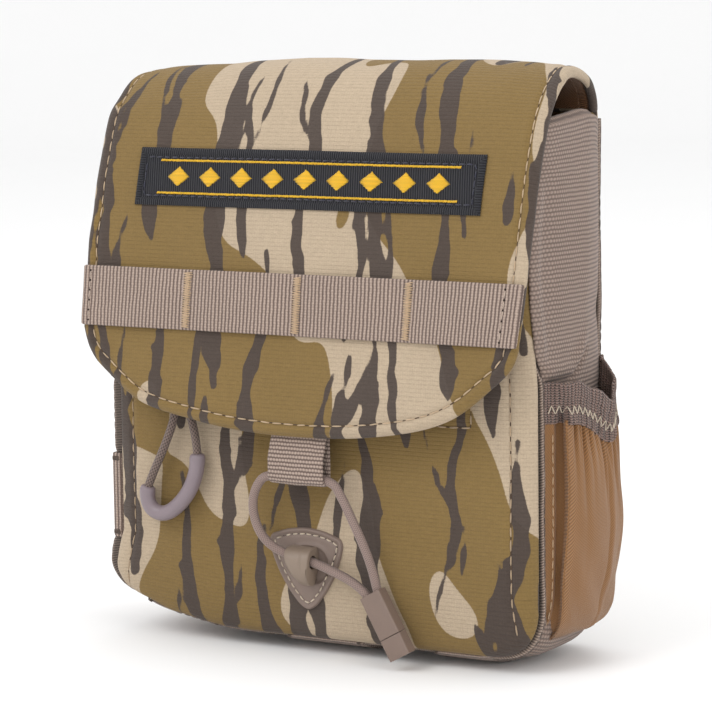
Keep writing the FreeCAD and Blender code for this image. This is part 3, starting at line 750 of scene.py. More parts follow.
def print_on(ob, seed, ground=0.47, spread=1.0, patches=None, size=None):
    """Write a print's distances to the points of a cloth piece."""
    me = ob.data
    p = np.zeros(len(me.vertices) * 3, np.float32)
    me.attributes["pat"].data.foreach_get("vector", p)
    p = p.reshape(-1, 3).astype(float)
    w, h = size or (float(np.ptp(p[:, 0])), float(np.ptp(p[:, 1])))
    bark, olive, pad = print_field(seed, w, h, ground, spread, patches)
    gx, gy = (p[:, 0] - p[:, 0].min() + pad) / CELL, (p[:, 1] - p[:, 1].min() + pad) / CELL
    i, j = gx.astype(int), gy.astype(int)
    fx, fy = gx - i, gy - j
    for name, f in (("bark", bark), ("olive", olive)):
        v = (f[i, j] * (1 - fx) + f[i + 1, j] * fx) * (1 - fy) + (f[i, j + 1] * (1 - fx) + f[i + 1, j + 1] * fx) * fy
        me.attributes.new(name, "FLOAT", "POINT").data.foreach_set("value", v.astype(np.float32))


def webbing(name, light, dark, pitch=1.43, dot=1.15, amount=1.0, coords=None, contrast=1.0, rough=0.8, diag=0.5, dist=0.0004, fine=0.0):
    """Woven webbing: ribs across its length with the weave's dots between them."""
    m = Mat(name, rough=rough, sheen=0.15, spec=0.25)
    P = coords(m) if coords else m.attr("pat")
    x, y, _ = m.xyz(P)
    wob = m.mul(m.sub(m.noise(m.vmul(P, (0.25, 0.25, 0)), 1, 2.0), 0.5), 0.5)
    row = m.math("DIVIDE", m.add(y, wob), pitch)
    rib = m.add(m.mul(m.math("COSINE", m.mul(row, 2 * math.pi)), 0.5), 0.5)
    off = m.mul(m.math("FLOOR", m.add(row, 0.5)), diag)
    q = m.add(m.math("DIVIDE", x, dot), off)
    dots = m.add(m.mul(m.math("COSINE", m.mul(q, 2 * math.pi)), 0.5 - 0.5 * fine), 0.5)
    if fine:
        dots = m.add(dots, m.mul(m.math("COSINE", m.mul(q, 4 * math.pi)), 0.5 * fine))
    h = m.mul(m.math("POWER", rib, 0.7), m.add(0.42, m.mul(dots, 0.58)))
    gr = m.noise(m.vmul(P, (2.6, 2.6, 0)), 1, 2.0, 0.6)
    big = m.noise(m.vmul(P, (1 / 25, 1 / 25, 0)), 1, 2.0)
    col = m.mix(m.step(h, 0.05, 0.75), dark, light)
    col = m.shade(col, m.add(1.0, m.add(m.mul(m.sub(gr, 0.5), 0.35), m.mul(m.sub(big, 0.5), 0.16))))
    return m.finish(col, m.add(m.mul(h, amount), m.mul(gr, 0.15)), dist)


def twill(name, light, dark, pitch=0.95, slope=0.55, rough=0.75, sheen=0.2, dist=0.00018, coords=None, spec=0.3, rim=False):
    m = Mat(name, rough=rough, sheen=sheen, spec=spec)
    P = coords(m) if coords else m.attr("pat")
    x, y, _ = m.xyz(P)
    d = m.math("DIVIDE", m.add(y, m.mul(x, slope)), pitch)
    line = m.add(m.mul(m.math("COSINE", m.mul(d, 2 * math.pi)), 0.5), 0.5)
    gr = m.noise(m.vmul(P, (2.2, 2.2, 0)), 1, 2.0, 0.6)
    big = m.noise(m.vmul(P, (1 / 22, 1 / 30, 0)), 1, 2.0)
    col = m.mix(m.step(m.add(line, m.mul(m.sub(gr, 0.5), 0.9)), 0.0, 1.0), dark, light)
    col = m.shade(col, m.add(1.0, m.mul(m.sub(big, 0.5), 0.22)))
    if rim:      # folded tape: painted shade, darkened towards the seam groove beside the panel's edge and pale along its outer fold
        col = m.shade(col, m.add(0.36, m.mul(m.step(m.attr("rim", False), 0.45, 0.97), 0.74)))
    return m.finish(col, m.add(line, m.mul(gr, 0.7)), dist)


def knit(name, light, dark, wale=1.45, course=0.95):
    """Columns of small V stitches."""
    m = Mat(name, rough=0.85, sheen=0.2, spec=0.2)
    P = m.attr("pat")
    x, y, _ = m.xyz(P)
    wob = m.mul(m.sub(m.noise(m.vmul(P, (0.35, 0.35, 0)), 1, 2.0), 0.5), 0.9)
    c = m.math("ABSOLUTE", m.math("SINE", m.mul(m.math("DIVIDE", m.add(x, wob), wale), math.pi)))
    v = m.math("COSINE", m.mul(m.math("DIVIDE", m.add(m.add(y, m.mul(wob, 0.6)), m.mul(c, 0.45)), course), 2 * math.pi))
    v = m.add(m.mul(v, 0.5), 0.5)
    h = m.add(m.mul(m.math("POWER", c, 0.6), 0.5), m.mul(v, 0.5))
    gr = m.noise(m.vmul(P, (2.4, 2.4, 0)), 1, 2.0, 0.6)
    big = m.noise(m.vmul(P, (0.16, 0.16, 0)), 1, 2.0)
    col = m.mix(m.step(m.add(h, m.mul(m.sub(gr, 0.5), 0.35)), 0.15, 0.95), dark, light)
    col = m.shade(col, m.add(1.0, m.mul(m.sub(big, 0.5), 0.3)))
    return m.finish(col, m.add(h, m.mul(gr, 0.3)), 0.0013)


def moulded(name, base, rough=0.5, spec=0.4, scale=1.0, sheen=0.0, coat=0.0, bump=0.00008):
    m = Mat(name, rough=rough, spec=spec, sheen=sheen, coat=coat)
    P = m.obj_mm()
    gr = m.noise(m.vmul(P, (2.0 * scale,) * 3), 1, 3.0, 0.6)
    big = m.noise(m.vmul(P, (0.12,) * 3), 1, 2.0)
    col = m.shade(base, m.add(1.0, m.add(m.mul(m.sub(gr, 0.5), 0.10), m.mul(m.sub(big, 0.5), 0.16))))
    r = m.add(rough - 0.06, m.mul(gr, 0.12))
    return m.finish(col, gr, bump, rough=r)


def thread_mat(name, base, rough=0.6, sheen=0.3):
    m = Mat(name, rough=rough, sheen=sheen, spec=0.35)
    x, y, z = m.xyz(m.attr("pat"))
    tw = m.math("SINE", m.mul(m.add(m.mul(y, 1.0), m.mul(x, 0.6)), 2 * math.pi / 0.42))
    v = m.noise(m.comb(z, z, 0.0), 1, 0.0)
    col = m.shade(base, m.add(1.0, m.add(m.mul(tw, 0.12), m.mul(m.sub(v, 0.5), 0.5))))
    return m.finish(col, tw, 0.00008)


M_FLAP = camo("flap_camo")
M_FRONT = camo("panel_camo")
M_BACK = camo("back_camo")
WEB_L, WEB_D = srgb("#B09C8F"), srgb("#64544D")
M_WEB = webbing("webbing", WEB_L, WEB_D, pitch=1.48, dot=1.84, dist=0.00045, fine=0.55)
M_TAB = webbing("tab_webbing", WEB_L, WEB_D, pitch=1.40, dot=1.2)
M_GUSSET = webbing("side_webbing", srgb("#998579"), srgb("#6A5B53"), pitch=1.5, dot=1.3, diag=0.5, dist=0.00036)
# the binding's twill darkens towards the panel's edge from the rim attribute: painted shade of the seam groove
M_BIND = twill("binding_twill", srgb("#A99587"), srgb("#6E5E54"), pitch=0.92, slope=0.6, dist=0.00026, rim=True)
M_LINING = twill("lining_cloth", srgb("#7C5636"), srgb("#5A3B22"), pitch=0.8, slope=0.8, coords=lambda m: m.obj_mm())
M_LINING_P = twill("flap_lining_cloth", srgb("#8A6240"), srgb("#664428"), pitch=0.8, slope=0.8)
M_POCKET = twill("pocket_twill", srgb("#996D42"), srgb("#74502C"), pitch=1.25, slope=-1.6, rough=0.6, sheen=0.18, spec=0.38, dist=0.00014)
M_ELASTIC = knit("elastic_knit", srgb("#9C8176"), srgb("#2E221E"))
M_THREAD = thread_mat("tan_thread", srgb("#C9AE8C"))
M_THREAD_F = thread_mat("panel_thread", srgb("#B49A7B"))
# dark brown painted into the dimples between stitches: painted shade where the thread sinks into the cloth
M_DIMPLE_SHADE = moulded("stitch_dimple", srgb("#57483C"), rough=0.95, spec=0.1)
M_THREAD_L = thread_mat("pale_thread", srgb("#DCCBB4"))
M_THREAD_B = thread_mat("brown_thread", srgb("#5C493D"))
M_THREAD_W = thread_mat("webbing_thread", srgb("#BFAA9A"))
M_THREAD_K = thread_mat("patch_thread", srgb("#23233A"), rough=0.4)
M_TACK = thread_mat("tack_thread", srgb("#C6A784"))
M_RUBBER = moulded("hook_rubber", srgb("#7D6D64"), rough=0.55, spec=0.35)
M_NOSE = moulded("hook_nose_rubber", srgb("#867668"), rough=0.46, spec=0.42)
M_SLEEVE = moulded("sleeve_rubber", srgb("#82757A"), rough=0.38, spec=0.45)
M_PLASTIC = moulded("cord_end_plastic", srgb("#7B695F"), rough=0.45, spec=0.4)
# near-black dots at needle holes: painted shade inside the holes
M_HOLE_SHADE = moulded("stitch_hole", srgb("#2A2320"), rough=0.95, spec=0.1)
M_TEETH = moulded("zip_teeth_plastic", srgb("#6E5E54"), rough=0.4, spec=0.5)
M_SLIDER = moulded("slider_paint", srgb("#5E5048"), rough=0.42, spec=0.5)
M_ZIPTAPE = webbing("zip_tape_weave", srgb("#6E5E55"), srgb("#453A34"), pitch=0.8, dot=0.6, coords=lambda m: m.comb(m.xyz(m.obj_mm())[0], m.xyz(m.obj_mm())[2], 0), dist=0.0002)
M_WEB_CAD = webbing("anchor_webbing", WEB_L, WEB_D, coords=lambda m: m.comb(m.xyz(m.obj_mm())[0], m.xyz(m.obj_mm())[2], 0))


def braid(name, light, dark, turns=1.6, per=2.2, dist=0.00025, around=10.05, rough=0.7):
    """Braided cord cover: two sets of strands crossing round the cord."""
    m = Mat(name, rough=rough, sheen=0.2, spec=0.3)
    x, y, _ = m.xyz(m.attr("pat"))
    a = m.math("DIVIDE", x, around / 8.0)
    b = m.math("DIVIDE", y, per / 2.0)
    s1 = m.math("ABSOLUTE", m.math("SINE", m.mul(m.add(a, b), math.pi)))
    s2 = m.math("ABSOLUTE", m.math("SINE", m.mul(m.sub(a, b), math.pi)))
    h = m.mul(m.add(s1, s2), 0.5)
    gr = m.noise(m.vmul(m.comb(x, y, 0), (2.0, 2.0, 0)), 1, 2.0)
    col = m.mix(m.step(h, 0.25, 0.85), dark, light)
    col = m.shade(col, m.add(1.0, m.mul(m.sub(gr, 0.5), 0.2)))
    return m.finish(col, h, dist)


M_BUNGEE = braid("bungee_cover", srgb("#927E76"), srgb("#6E5D57"), per=1.6, dist=0.00012)
M_PULLCORD = braid("pull_cord_braid", srgb("#7E6C64"), srgb("#3C322D"), per=3.0, around=9.42, dist=0.0003)


def brass(name):
    m = Mat(name, rough=0.38, spec=0.5, metal=1.0)
    P = m.obj_mm()
    g = m.noise(m.vmul(P, (2.2, 2.2, 2.2)), 1, 2.0, 0.5)
    col = m.mix(g, (0.24, 0.175, 0.105), (0.31, 0.23, 0.14))
    return m.finish(col, g, 0.00003, rough=m.add(0.32, m.mul(g, 0.12)))


M_BRASS = brass("antique_brass")

# ------------------------------------------------------------ camera and cords
cam_data = bpy.data.cameras.new("camera")
cam_data.sensor_width = 36.0
cam_data.lens = 156.1
cam_data.clip_start, cam_data.clip_end = 0.05, 20.0
cam = bpy.data.objects.new("camera", cam_data)
scene.collection.objects.link(cam)
scene.camera = cam
back = Vector((0.4958, -0.8588, 0.1288)).normalized()
right = Vector((0, 0, 1)).cross(back).normalized()
up = back.cross(right)
roll = math.radians(-0.78)
r2 = right * math.cos(roll) + up * math.sin(roll)
u2 = up * math.cos(roll) - right * math.sin(roll)
target = Vector((-0.00479, 0.00628, 0.1025))
cam.matrix_world = Matrix.Translation(target + back * 1.100) @ Matrix((r2, u2, back)).transposed().to_4x4()

PULL_Y = -37.7
PULL_ROUTE = [(-51.6, -37.25, 98.4), (-51.6, -37.3, 93.6), (-52.6, PULL_Y, 87.0), (-54.6, PULL_Y, 79.5),
              (-58.9, PULL_Y, 70.0), (-63.4, PULL_Y, 61.5), (-66.6, PULL_Y, 54.0),
              (-64.6, PULL_Y, 48.2), (-58.6, PULL_Y, 46.6), (-51.8, PULL_Y, 51.2),
              (-46.5, PULL_Y, 58.4), (-44.0, PULL_Y, 67.0), (-45.0, PULL_Y, 76.0),
              (-47.2, PULL_Y, 84.5), (-48.4, -37.3, 92.0), (-48.4, -37.25, 98.4)]
END_TOP = Vector((26.9, -38.7, 26.2))
END_DIR = Vector((11.75, 0, -20.95)).normalized()
END_SIDE = Vector((0.873, 0, 0.49)).normalized()
FOLD_Y, FOLD_Z = -43.4, 66.0
in_a, in_b = END_TOP + END_SIDE * 1.9, END_TOP - END_SIDE * 1.9
BUNGEE_RIGHT = [(1.0, FOLD_Y, FOLD_Z - 0.05), (13.7, FOLD_Y, FOLD_Z + 0.05), (18.0, -43.3, 59.6), (21.8, -42.8, 51.6),
                (25.8, -41.8, 42.6), (28.0, -39.8, 33.6), tuple(in_a + END_DIR * 0.6), tuple(in_a + END_DIR * 5.0)]
BUNGEE_LEFT = [(1.0, FOLD_Y, FOLD_Z - 0.05), (-11.8, FOLD_Y, FOLD_Z + 0.05), (-16.2, -43.2, 62.0),
               (-18.6, -42.9, 55.8), (-18.0, -42.5, 49.0), (-15.6, -42.0, 43.6), (-12.6, -40.2, 39.8),
               (-8.8, -38.3, 37.2), (-1.0, -37.9, 35.7), (6.0, -38.0, 33.9), (13.0, -38.3, 31.7), (19.6, -38.6, 29.2),
               tuple(in_b + END_DIR * 0.4), tuple(in_b + END_DIR * 5.0)]


def nurbs_line(route, per=14):
    """Points of the smooth NURBS line whose control points are the route."""
    cu = bpy.data.curves.new("line", "CURVE")
    cu.dimensions = "3D"
    sp = cu.splines.new("NURBS")
    sp.points.add(len(route) - 1)
    for q, p in zip(sp.points, route):
        q.co = (*p, 1.0)
    sp.order_u = 3
    sp.use_endpoint_u = True
    sp.resolution_u = per
    ob = bpy.data.objects.new("line", cu)
    scene.collection.objects.link(ob)
    bpy.context.view_layer.update()
    me = bpy.data.meshes.new_from_object(ob)
    pts = np.array([v.co[:] for v in me.vertices])
    bpy.data.objects.remove(ob)
    bpy.data.meshes.remove(me)
    bpy.data.curves.remove(cu)
    return pts


def cord_piece(name, route, d, mat, exit_at, far_end, body, with_pieces, replaces, stiff="limp", lay="loose"):
    line = nurbs_line(route)
    line = even(line, max(40, int(length(line) / 0.9)))
    ob = sweep(name, line, ring_section(d / 2, 18), mat)
    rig.ride(ob, body)
    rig.replaces(ob, *replaces)
    row = to_row(line)
    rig.cord(ob, exit=tuple(to_row(exit_at)), length=length(line) / 1000, diameter=d / 1000, far_end=far_end,
            stiffness=stiff, lay=lay, path=[tuple(q) for q in row], with_pieces=with_pieces)
    return ob, line


N = frame["nodes"]
b1, line_r = cord_piece("bungee_right", BUNGEE_RIGHT, 3.2, M_BUNGEE, (13.0, FOLD_Y, FOLD_Z), "fitting", "bungee_loop",
                        [N["cord_end_body"], N["cord_end_cap"]], ["bungee_cord"])
b2, line_l = cord_piece("bungee_left", BUNGEE_LEFT, 3.2, M_BUNGEE, (-11.0, FOLD_Y, FOLD_Z), "fitting", "bungee_loop",
                        [N["cord_end_body"], N["cord_end_cap"]], ["bungee_cord"])
for b in (b1, b2):
    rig.slot(b, "bungee")

# ------------------------------------------------------------------------ flap
PROFILE = [(24.3, 190.8), (23.4, 195.2), (20.2, 200.2), (14.2, 204.2), (6.4, 206.7), (-1.8, 207.5),
           (-9.2, 206.3), (-15.6, 202.9), (-21.0, 197.4), (-25.3, 190.2), (-28.9, 182.0),
           (-31.7, 174.0), (-34.3, 166.0), (-36.5, 157.5), (-38.1, 148.0), (-39.5, 138.0),
           (-40.9, 128.0), (-42.5, 117.0), (-44.2, 106.0), (-45.6, 95.0), (-46.6, 85.0), (-47.1, 78.0)]
FLAP_EDGE = [(87.5, 114.0), (86.2, 109.4), (82.6, 104.9), (77.6, 101.0), (71.0, 95.8), (63.5, 90.9), (52.0, 86.3),
             (38.0, 83.3), (20.0, 81.1), (0.0, 80.4)]
prof = spline(PROFILE, 900)
prof_s = np.concatenate([[0], np.cumsum(np.linalg.norm(np.diff(prof, axis=0), axis=1))])
_t = np.gradient(prof, axis=0)
_t /= np.linalg.norm(_t, axis=1)[:, None]
prof_n = np.stack([_t[:, 1], -_t[:, 0]], 1)          # outward
if prof_n[450, 0] > 0:
    prof_n = -prof_n
S_END = prof_s[-1]
front = np.arange(len(prof)) > 330


def ease_in(v, a, b):
    t = np.clip((np.asarray(v, float) - a) / (b - a), 0, 1)
    return t * t * (3 - 2 * t)


def s_of_z(z):
    """Distance along the flap profile where its front is at height z."""
    zz = prof[front][:, 1]
    return np.interp(-np.asarray(z, float), -zz, prof_s[front])


def z_of_s(s):
    return np.interp(s, prof_s, prof[:, 1])


edge_half = np.array(sorted(FLAP_EDGE))
edge_curve = spline(np.vstack([edge_half * [-1, 1], edge_half[1:]])[np.argsort(np.concatenate([-edge_half[:, 0], edge_half[1:, 0]]))], 300)

# the left lower corner is squarer than the right one
edge_curve[:, 1] -= np.interp(-edge_curve[:, 0], [44, 50, 56, 63.5, 71, 77.6, 82.6, 86.2, 87.4], [0, 0.3, 0.9, 1.8, 2.3, 2.4, 2.3, 1.5, 0.2])


def z_edge(x):
    return np.interp(x, edge_curve[:, 0], edge_curve[:, 1])


def flap_w(s):
    """Half width of the flap at a distance along it."""
    y = np.interp(s, prof_s, prof[:, 0])
    z = np.interp(s, prof_s, prof[:, 1])
    w = 83.6 + (87.5 - 83.6) * np.clip((22.0 - y) / 34.0, 0, 1)
    return np.where(z < 185, 87.5, w)


# outline in the flat (x, s) plane, used for edge distances and the topstitch
flat_side = np.linspace(0, float(s_of_z(114.0)), 160)
outline_r = np.stack([flap_w(flat_side), flat_side], 1)
bottom = np.stack([edge_curve[::-1, 0], s_of_z(edge_curve[::-1, 1])], 1)
flat_outline = np.vstack([outline_r, bottom[1:-1], (outline_r * [-1, 1])[::-1]])


def edge_distance(x, s):
    q = np.stack([np.ravel(x), np.ravel(s)], 1)
    A, B = flat_outline[:-1], flat_outline[1:]
    best = np.full(len(q), 1e9)
    for a, b in zip(A, B):
        d = b - a
        t = np.clip(((q - a) @ d) / max(d @ d, 1e-9), 0, 1)
        best = np.minimum(best, np.linalg.norm(q - a - t[:, None] * d, axis=1))
    return best.reshape(np.shape(x))


wave_a, wave_b = waves(11, 7, 30, 110), waves(12, 6, 12, 30)


def flap_lift(x, s, e):
    """How far the padded flap stands out of its plain profile."""
    d = 0.75 * (1 - (x / 88.0) ** 2) * np.exp(-((s - 42.0) / 34.0) ** 2)       # crowned over the top
    d = d + 0.45 * wave_a(x, s) * np.clip(e / 12, 0, 1) + 0.10 * wave_b(x, s)
    d = d - 0.55 * np.exp(-((e - 3.9) / 0.75) ** 2)                            # pulled in by the topstitch
    d = d + 0.22 * np.exp(-((e - 1.9) / 1.0) ** 2) + 0.20 * np.exp(-((e - 6.2) / 1.6) ** 2)
    d = d - 0.9 * np.clip(1 - e / 2.2, 0, 1) ** 2                              # rolled edge
    d = d - 0.8 * np.clip((np.abs(x) - 70) / 17, 0, 1) ** 2 * np.exp(-((s - 40) / 45.0) ** 2)
    return d


def flap_lean(x, z):
    """The flap's lower right corner is drawn in, and its left edge eased out by the webbing."""
    right = np.clip((x - 36) / 51.5, 0, 1) ** 1.3 * np.interp(z, [80, 92, 104, 114, 136, 157], [1.2, 2.2, 3.1, 3.0, 1.3, 0.0])
    left = np.clip((-x - 36) / 51.5, 0, 1) ** 1.3 * 1.2 * ease_in(z, 104, 120) * (1 - ease_in(z, 143, 157))
    return -right - left


def flap_droop(x, z, s):
    """The arch over the top sinks towards its ends, most at the left one."""
    d = np.interp(x, [-88, -80, -70, -59, -49, -39, -29, -18, 40, 60, 75, 88], [4.4, 3.8, 2.9, 2.4, 1.9, 1.1, 0.5, 0, 0, 0.5, 1.1, 1.1])
    return d * ease_in(z, 187, 202) * ease_in(s, 4, 28)


def flap_point(x, s, off=0.0, plain=False):
    x, s = np.asarray(x, float), np.asarray(s, float)
    y = np.interp(s, prof_s, prof[:, 0])
    z = np.interp(s, prof_s, prof[:, 1])
    ny = np.interp(s, prof_s, prof_n[:, 0])
    nz = np.interp(s, prof_s, prof_n[:, 1])
    d = off + (0 if plain else flap_lift(x, s, edge_distance(x, s)))
    return np.stack([x + flap_lean(x, z), y + ny * d, z + nz * d - flap_droop(x, z, s)], -1), np.stack([np.zeros_like(ny), ny, nz], -1)


uu = np.concatenate([np.linspace(-1, -0.92, 13)[:-1], np.linspace(-0.92, 0.92, 156), np.linspace(0.92, 1, 13)[1:]])
tt = np.concatenate([np.linspace(0, 0.93, 196)[:-1], np.linspace(0.93, 1, 22)])
U, T = np.meshgrid(uu, tt, indexing="ij")
SE = s_of_z(z_edge(U * 87.5))
Sg = T * SE
Xg = U * flap_w(Sg)
E = edge_distance(Xg, Sg)
Vf, Nf = flap_point(Xg.ravel(), Sg.ravel())
pat = np.stack([Xg.ravel(), S_END - Sg.ravel(), np.zeros(Xg.size)], 1)
faces = grid_faces(len(uu), len(tt), flip=True)
tf = 3.3 - 0.5 * np.exp(-((E.ravel() - 3.9) / 1.2) ** 2)
flap = thick("flap_panel", Vf, faces, tf, pat, [M_FLAP, M_LINING_P], bulge=0.45, rings=4, edge=E.ravel())
print_on(flap, 15, 0.42, 0.86, 100, (178.0, 181.0))
place(flap, "flap", "camo_fabric", ["flap_shell", "flap_foam", "flap_lining"])
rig.padded(flap, 0.55)


def inset_line(e, s0=10.0, n=900):
    """The flap's outline moved in by e, from one side round to the other, in (x, s)."""
    d = np.gradient(flat_outline, axis=0)
    d /= np.linalg.norm(d, axis=1)[:, None]
    nrm = np.stack([-d[:, 1], d[:, 0]], 1)
    c = np.array([0, 100.0])
    sgn = np.sign(((c - flat_outline) * nrm).sum(1))
    p = flat_outline + nrm * sgn[:, None] * e
    p = p[p[:, 1] > s0]
    return even(p, n)


def flap_thread(pts, off=0.12):
    return flap_point(pts[:, 0], pts[:, 1], off)


# flap topstitch, with painted shade in the dimples between its stitches
th, dimple_shade = Thread(), Thread(5)
P3, N3 = flap_thread(inset_line(3.9))
th.run(P3, N3, pitch=4.8, size=3.5, d=0.52, lift=0.18, seed=4, holes=dimple_shade)
th.done("flap_topstitch", M_THREAD, "flap")
dimple_shade.done("flap_stitch_dimples", M_DIMPLE_SHADE, "flap")

# webbing across the flap, caught down at the bartacks and at both ends
tack_x = [-44.0, 0.6, 44.0]


def web_lift(x):
    near = np.min([np.abs(x - t) for t in tack_x + [-84.6, 82.0]], axis=0)
    return 0.55 * (1 - np.exp(-(near / 9.0) ** 2))


wx = np.linspace(-88.4, 88.2, 150)
wz = np.linspace(135.0, 115.0, 22)
WX, WZ = np.meshgrid(wx, wz, indexing="ij")
ws = s_of_z(WZ.ravel())
wxr = WX.ravel()
lift = 1.45 + web_lift(wxr) + 0.10 * wave_b(wxr * 1.3, ws)
Vw, Nw = flap_point(np.clip(wxr, -87.5, 87.5), ws, 0, plain=True)
Vw[:, 0] = wxr + flap_lean(wxr, WZ.ravel())
Vw = Vw + Nw * (lift + 0.45 * wave_a(np.clip(wxr, -80, 80), ws))[:, None]
# the last few millimetres of each end turn back round the flap's edge
turn = np.clip(np.abs(wxr) - 86.6, 0, 2)
Vw = Vw - Nw * (turn ** 2 * 0.45)[:, None]
patw = np.stack([WZ.ravel() - 125.0, wxr, np.zeros(len(wxr))], 1)
web = thick("flap_webbing_strip", Vw, grid_faces(len(wx), len(wz), flip=True), 1.15, patw, [M_WEB], bulge=0.5)
place(web, "flap", "webbing", ["flap_webbing"])


def web_point(x, z, off):
    s = s_of_z(z)
    p, n = flap_point(np.clip(x, -87.5, 87.5), s, 0, plain=True)
    p[..., 0] = x + flap_lean(x, z)
    return p + n * (1.45 + web_lift(x) + 0.45 * wave_a(np.clip(x, -80, 80), s) + off)[..., None], n


rng = random.Random(7)
th = Thread()
for tx in tack_x:
    z = 115.5
    k = 0
    while z < 134.6:
        w = 1.62 + rng.uniform(-0.28, 0.28)
        t = 0.20 + rng.uniform(-0.12, 0.12)
        a, n = web_point(np.array([tx - w, tx + w + rng.uniform(-0.2, 0.2)]), np.array([z - t, z + t] if k % 2 else [z + t, z - t]), 0.14)
        th.stitch(a[0], a[1], n[0], 0.46, 0.14 + rng.uniform(0, 0.06))
        z += 0.40
        k += 1
th.done("flap_bartack_threads", M_TACK, "flap")
th = Thread(5)
# near-black dots at the end stitching's needle holes: painted shade
holes = Thread(5)
for ex in (-84.6, 82.0):
    zz = np.linspace(116.4, 134.0, 60)
    P3, N3 = web_point(np.full(60, ex), zz, 0.08)
    th.run(P3, N3, pitch=3.5, size=2.7, d=0.46, lift=0.12 if ex < 0 else 0.0, seed=3)
    for z in np.arange(116.2, 134.4, 3.5):
        a, n = web_point(np.array([ex - 0.34, ex + 0.34]), np.array([z, z]), 0.04)
        holes.stitch(a[0], a[1], n[0], 0.75, 0.0, 0.5)
th.done("flap_webbing_end_stitch", M_THREAD_W, "flap")
holes.done("flap_webbing_holes", M_HOLE_SHADE, "flap")
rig.replaces(bpy.data.objects["flap_bartack_threads"], "flap_bartacks")

# ----------------------------------------------------------------------- patch
M_PATCH = Mat("patch_weave", rough=0.75, sheen=0.08, spec=0.3)
_x, _y, _ = M_PATCH.xyz(M_PATCH.attr("pat"))
_e = M_PATCH.attr("edge", False)
_border = M_PATCH.step(_e, 2.35, 2.15)
_ribs = M_PATCH.math("COSINE", M_PATCH.mul(M_PATCH.attr("rib", False), 2 * math.pi / 0.85))
_field = M_PATCH.math("COSINE", M_PATCH.mul(M_PATCH.add(_x, M_PATCH.mul(_y, 0.12)), 2 * math.pi / 0.9))
_h = M_PATCH.n("ShaderNodeMix", {0: _border, 2: _field, 3: _ribs}, data_type="FLOAT").outputs[0]
_gr = M_PATCH.noise(M_PATCH.vmul(M_PATCH.attr("pat"), (2.5, 1.2, 0)), 1, 2.0, 0.6)
_c = M_PATCH.mix(M_PATCH.step(M_PATCH.add(_h, M_PATCH.mul(_gr, 0.8)), -0.8, 1.4), (0.0040, 0.0040, 0.0062), (0.025, 0.025, 0.033))
M_PATCH = M_PATCH.finish(_c, M_PATCH.add(_h, M_PATCH.mul(_gr, 0.6)), 0.00028)

PX, PZ0, PZ1 = 69.0, 157.6, 177.2


def patch_point(x, z, off):
    s = s_of_z(z)
    p, n = flap_point(x, s, 0)
    return p + n * np.asarray(off)[..., None], n


px = np.concatenate([np.linspace(-PX, -PX + 3, 11)[:-1], np.linspace(-PX + 3, PX - 3, 120), np.linspace(PX - 3, PX, 11)[1:]])
pz = np.concatenate([np.linspace(PZ1, PZ1 - 3, 11)[:-1], np.linspace(PZ1 - 3, PZ0 + 3, 18), np.linspace(PZ0 + 3, PZ0, 11)[1:]])
GX, GZ = np.meshgrid(px, pz, indexing="ij")
gx, gz = GX.ravel(), GZ.ravel()
ex_, ez_ = PX - np.abs(gx), np.minimum(PZ1 - gz, gz - PZ0)
pe = np.minimum(ex_, ez_)
ribc = np.where(ez_ < ex_, gx, gz)
raised = 0.62 + 0.42 * np.sqrt(np.clip(1 - ((pe - 1.1) / 1.15) ** 2, 0, 1)) - 0.10 * np.exp(-((pe - 3.2) / 0.5) ** 2)
Vp, Np = patch_point(gx, gz, raised)
edge_wob = np.sin(gx * 7.9) * np.sin(gz * 8.3)
patp = np.stack([gx, gz, np.zeros(len(gx))], 1)
patch = thick("name_free_patch", Vp, grid_faces(len(px), len(pz), flip=True), 0.62, patp, [M_PATCH], bulge=0.5, edge=pe)
at = patch.data.attributes.new("rib", "FLOAT", "POINT")
vals = np.zeros(len(patch.data.vertices), np.float32)
co = np.array([v.co[:] for v in patch.data.vertices]) * 1000 - np.array([OX, OY, 0])
_ex, _ez = PX - np.abs(co[:, 0]), np.minimum(PZ1 - co[:, 2], co[:, 2] - PZ0)
vals[:] = np.where(_ez < _ex, co[:, 0], co[:, 2])
at.data.foreach_set("value", vals)
place(patch, "flap", "patch_weave", ["flap_patch"])

th = Thread()
loop = []
for x in np.linspace(-PX + 3.2, PX - 3.2, 200):
    loop.append((x, PZ1 - 3.2))
for z in np.linspace(PZ1 - 3.2, PZ0 + 3.2, 40)[1:]:
    loop.append((PX - 3.2, z))
for x in np.linspace(PX - 3.2, -PX + 3.2, 200)[1:]:
    loop.append((x, PZ0 + 3.2))
for z in np.linspace(PZ0 + 3.2, PZ1 - 3.2, 40)[1:]:
    loop.append((-PX + 3.2, z))
loop = np.array(loop)
P3, N3 = patch_point(loop[:, 0], loop[:, 1], np.full(len(loop), 0.66))
th.run(P3, N3, pitch=3.1, size=2.5, d=0.5, lift=0.18, seed=8)
th.done("patch_border_stitch", M_THREAD_K, "flap")

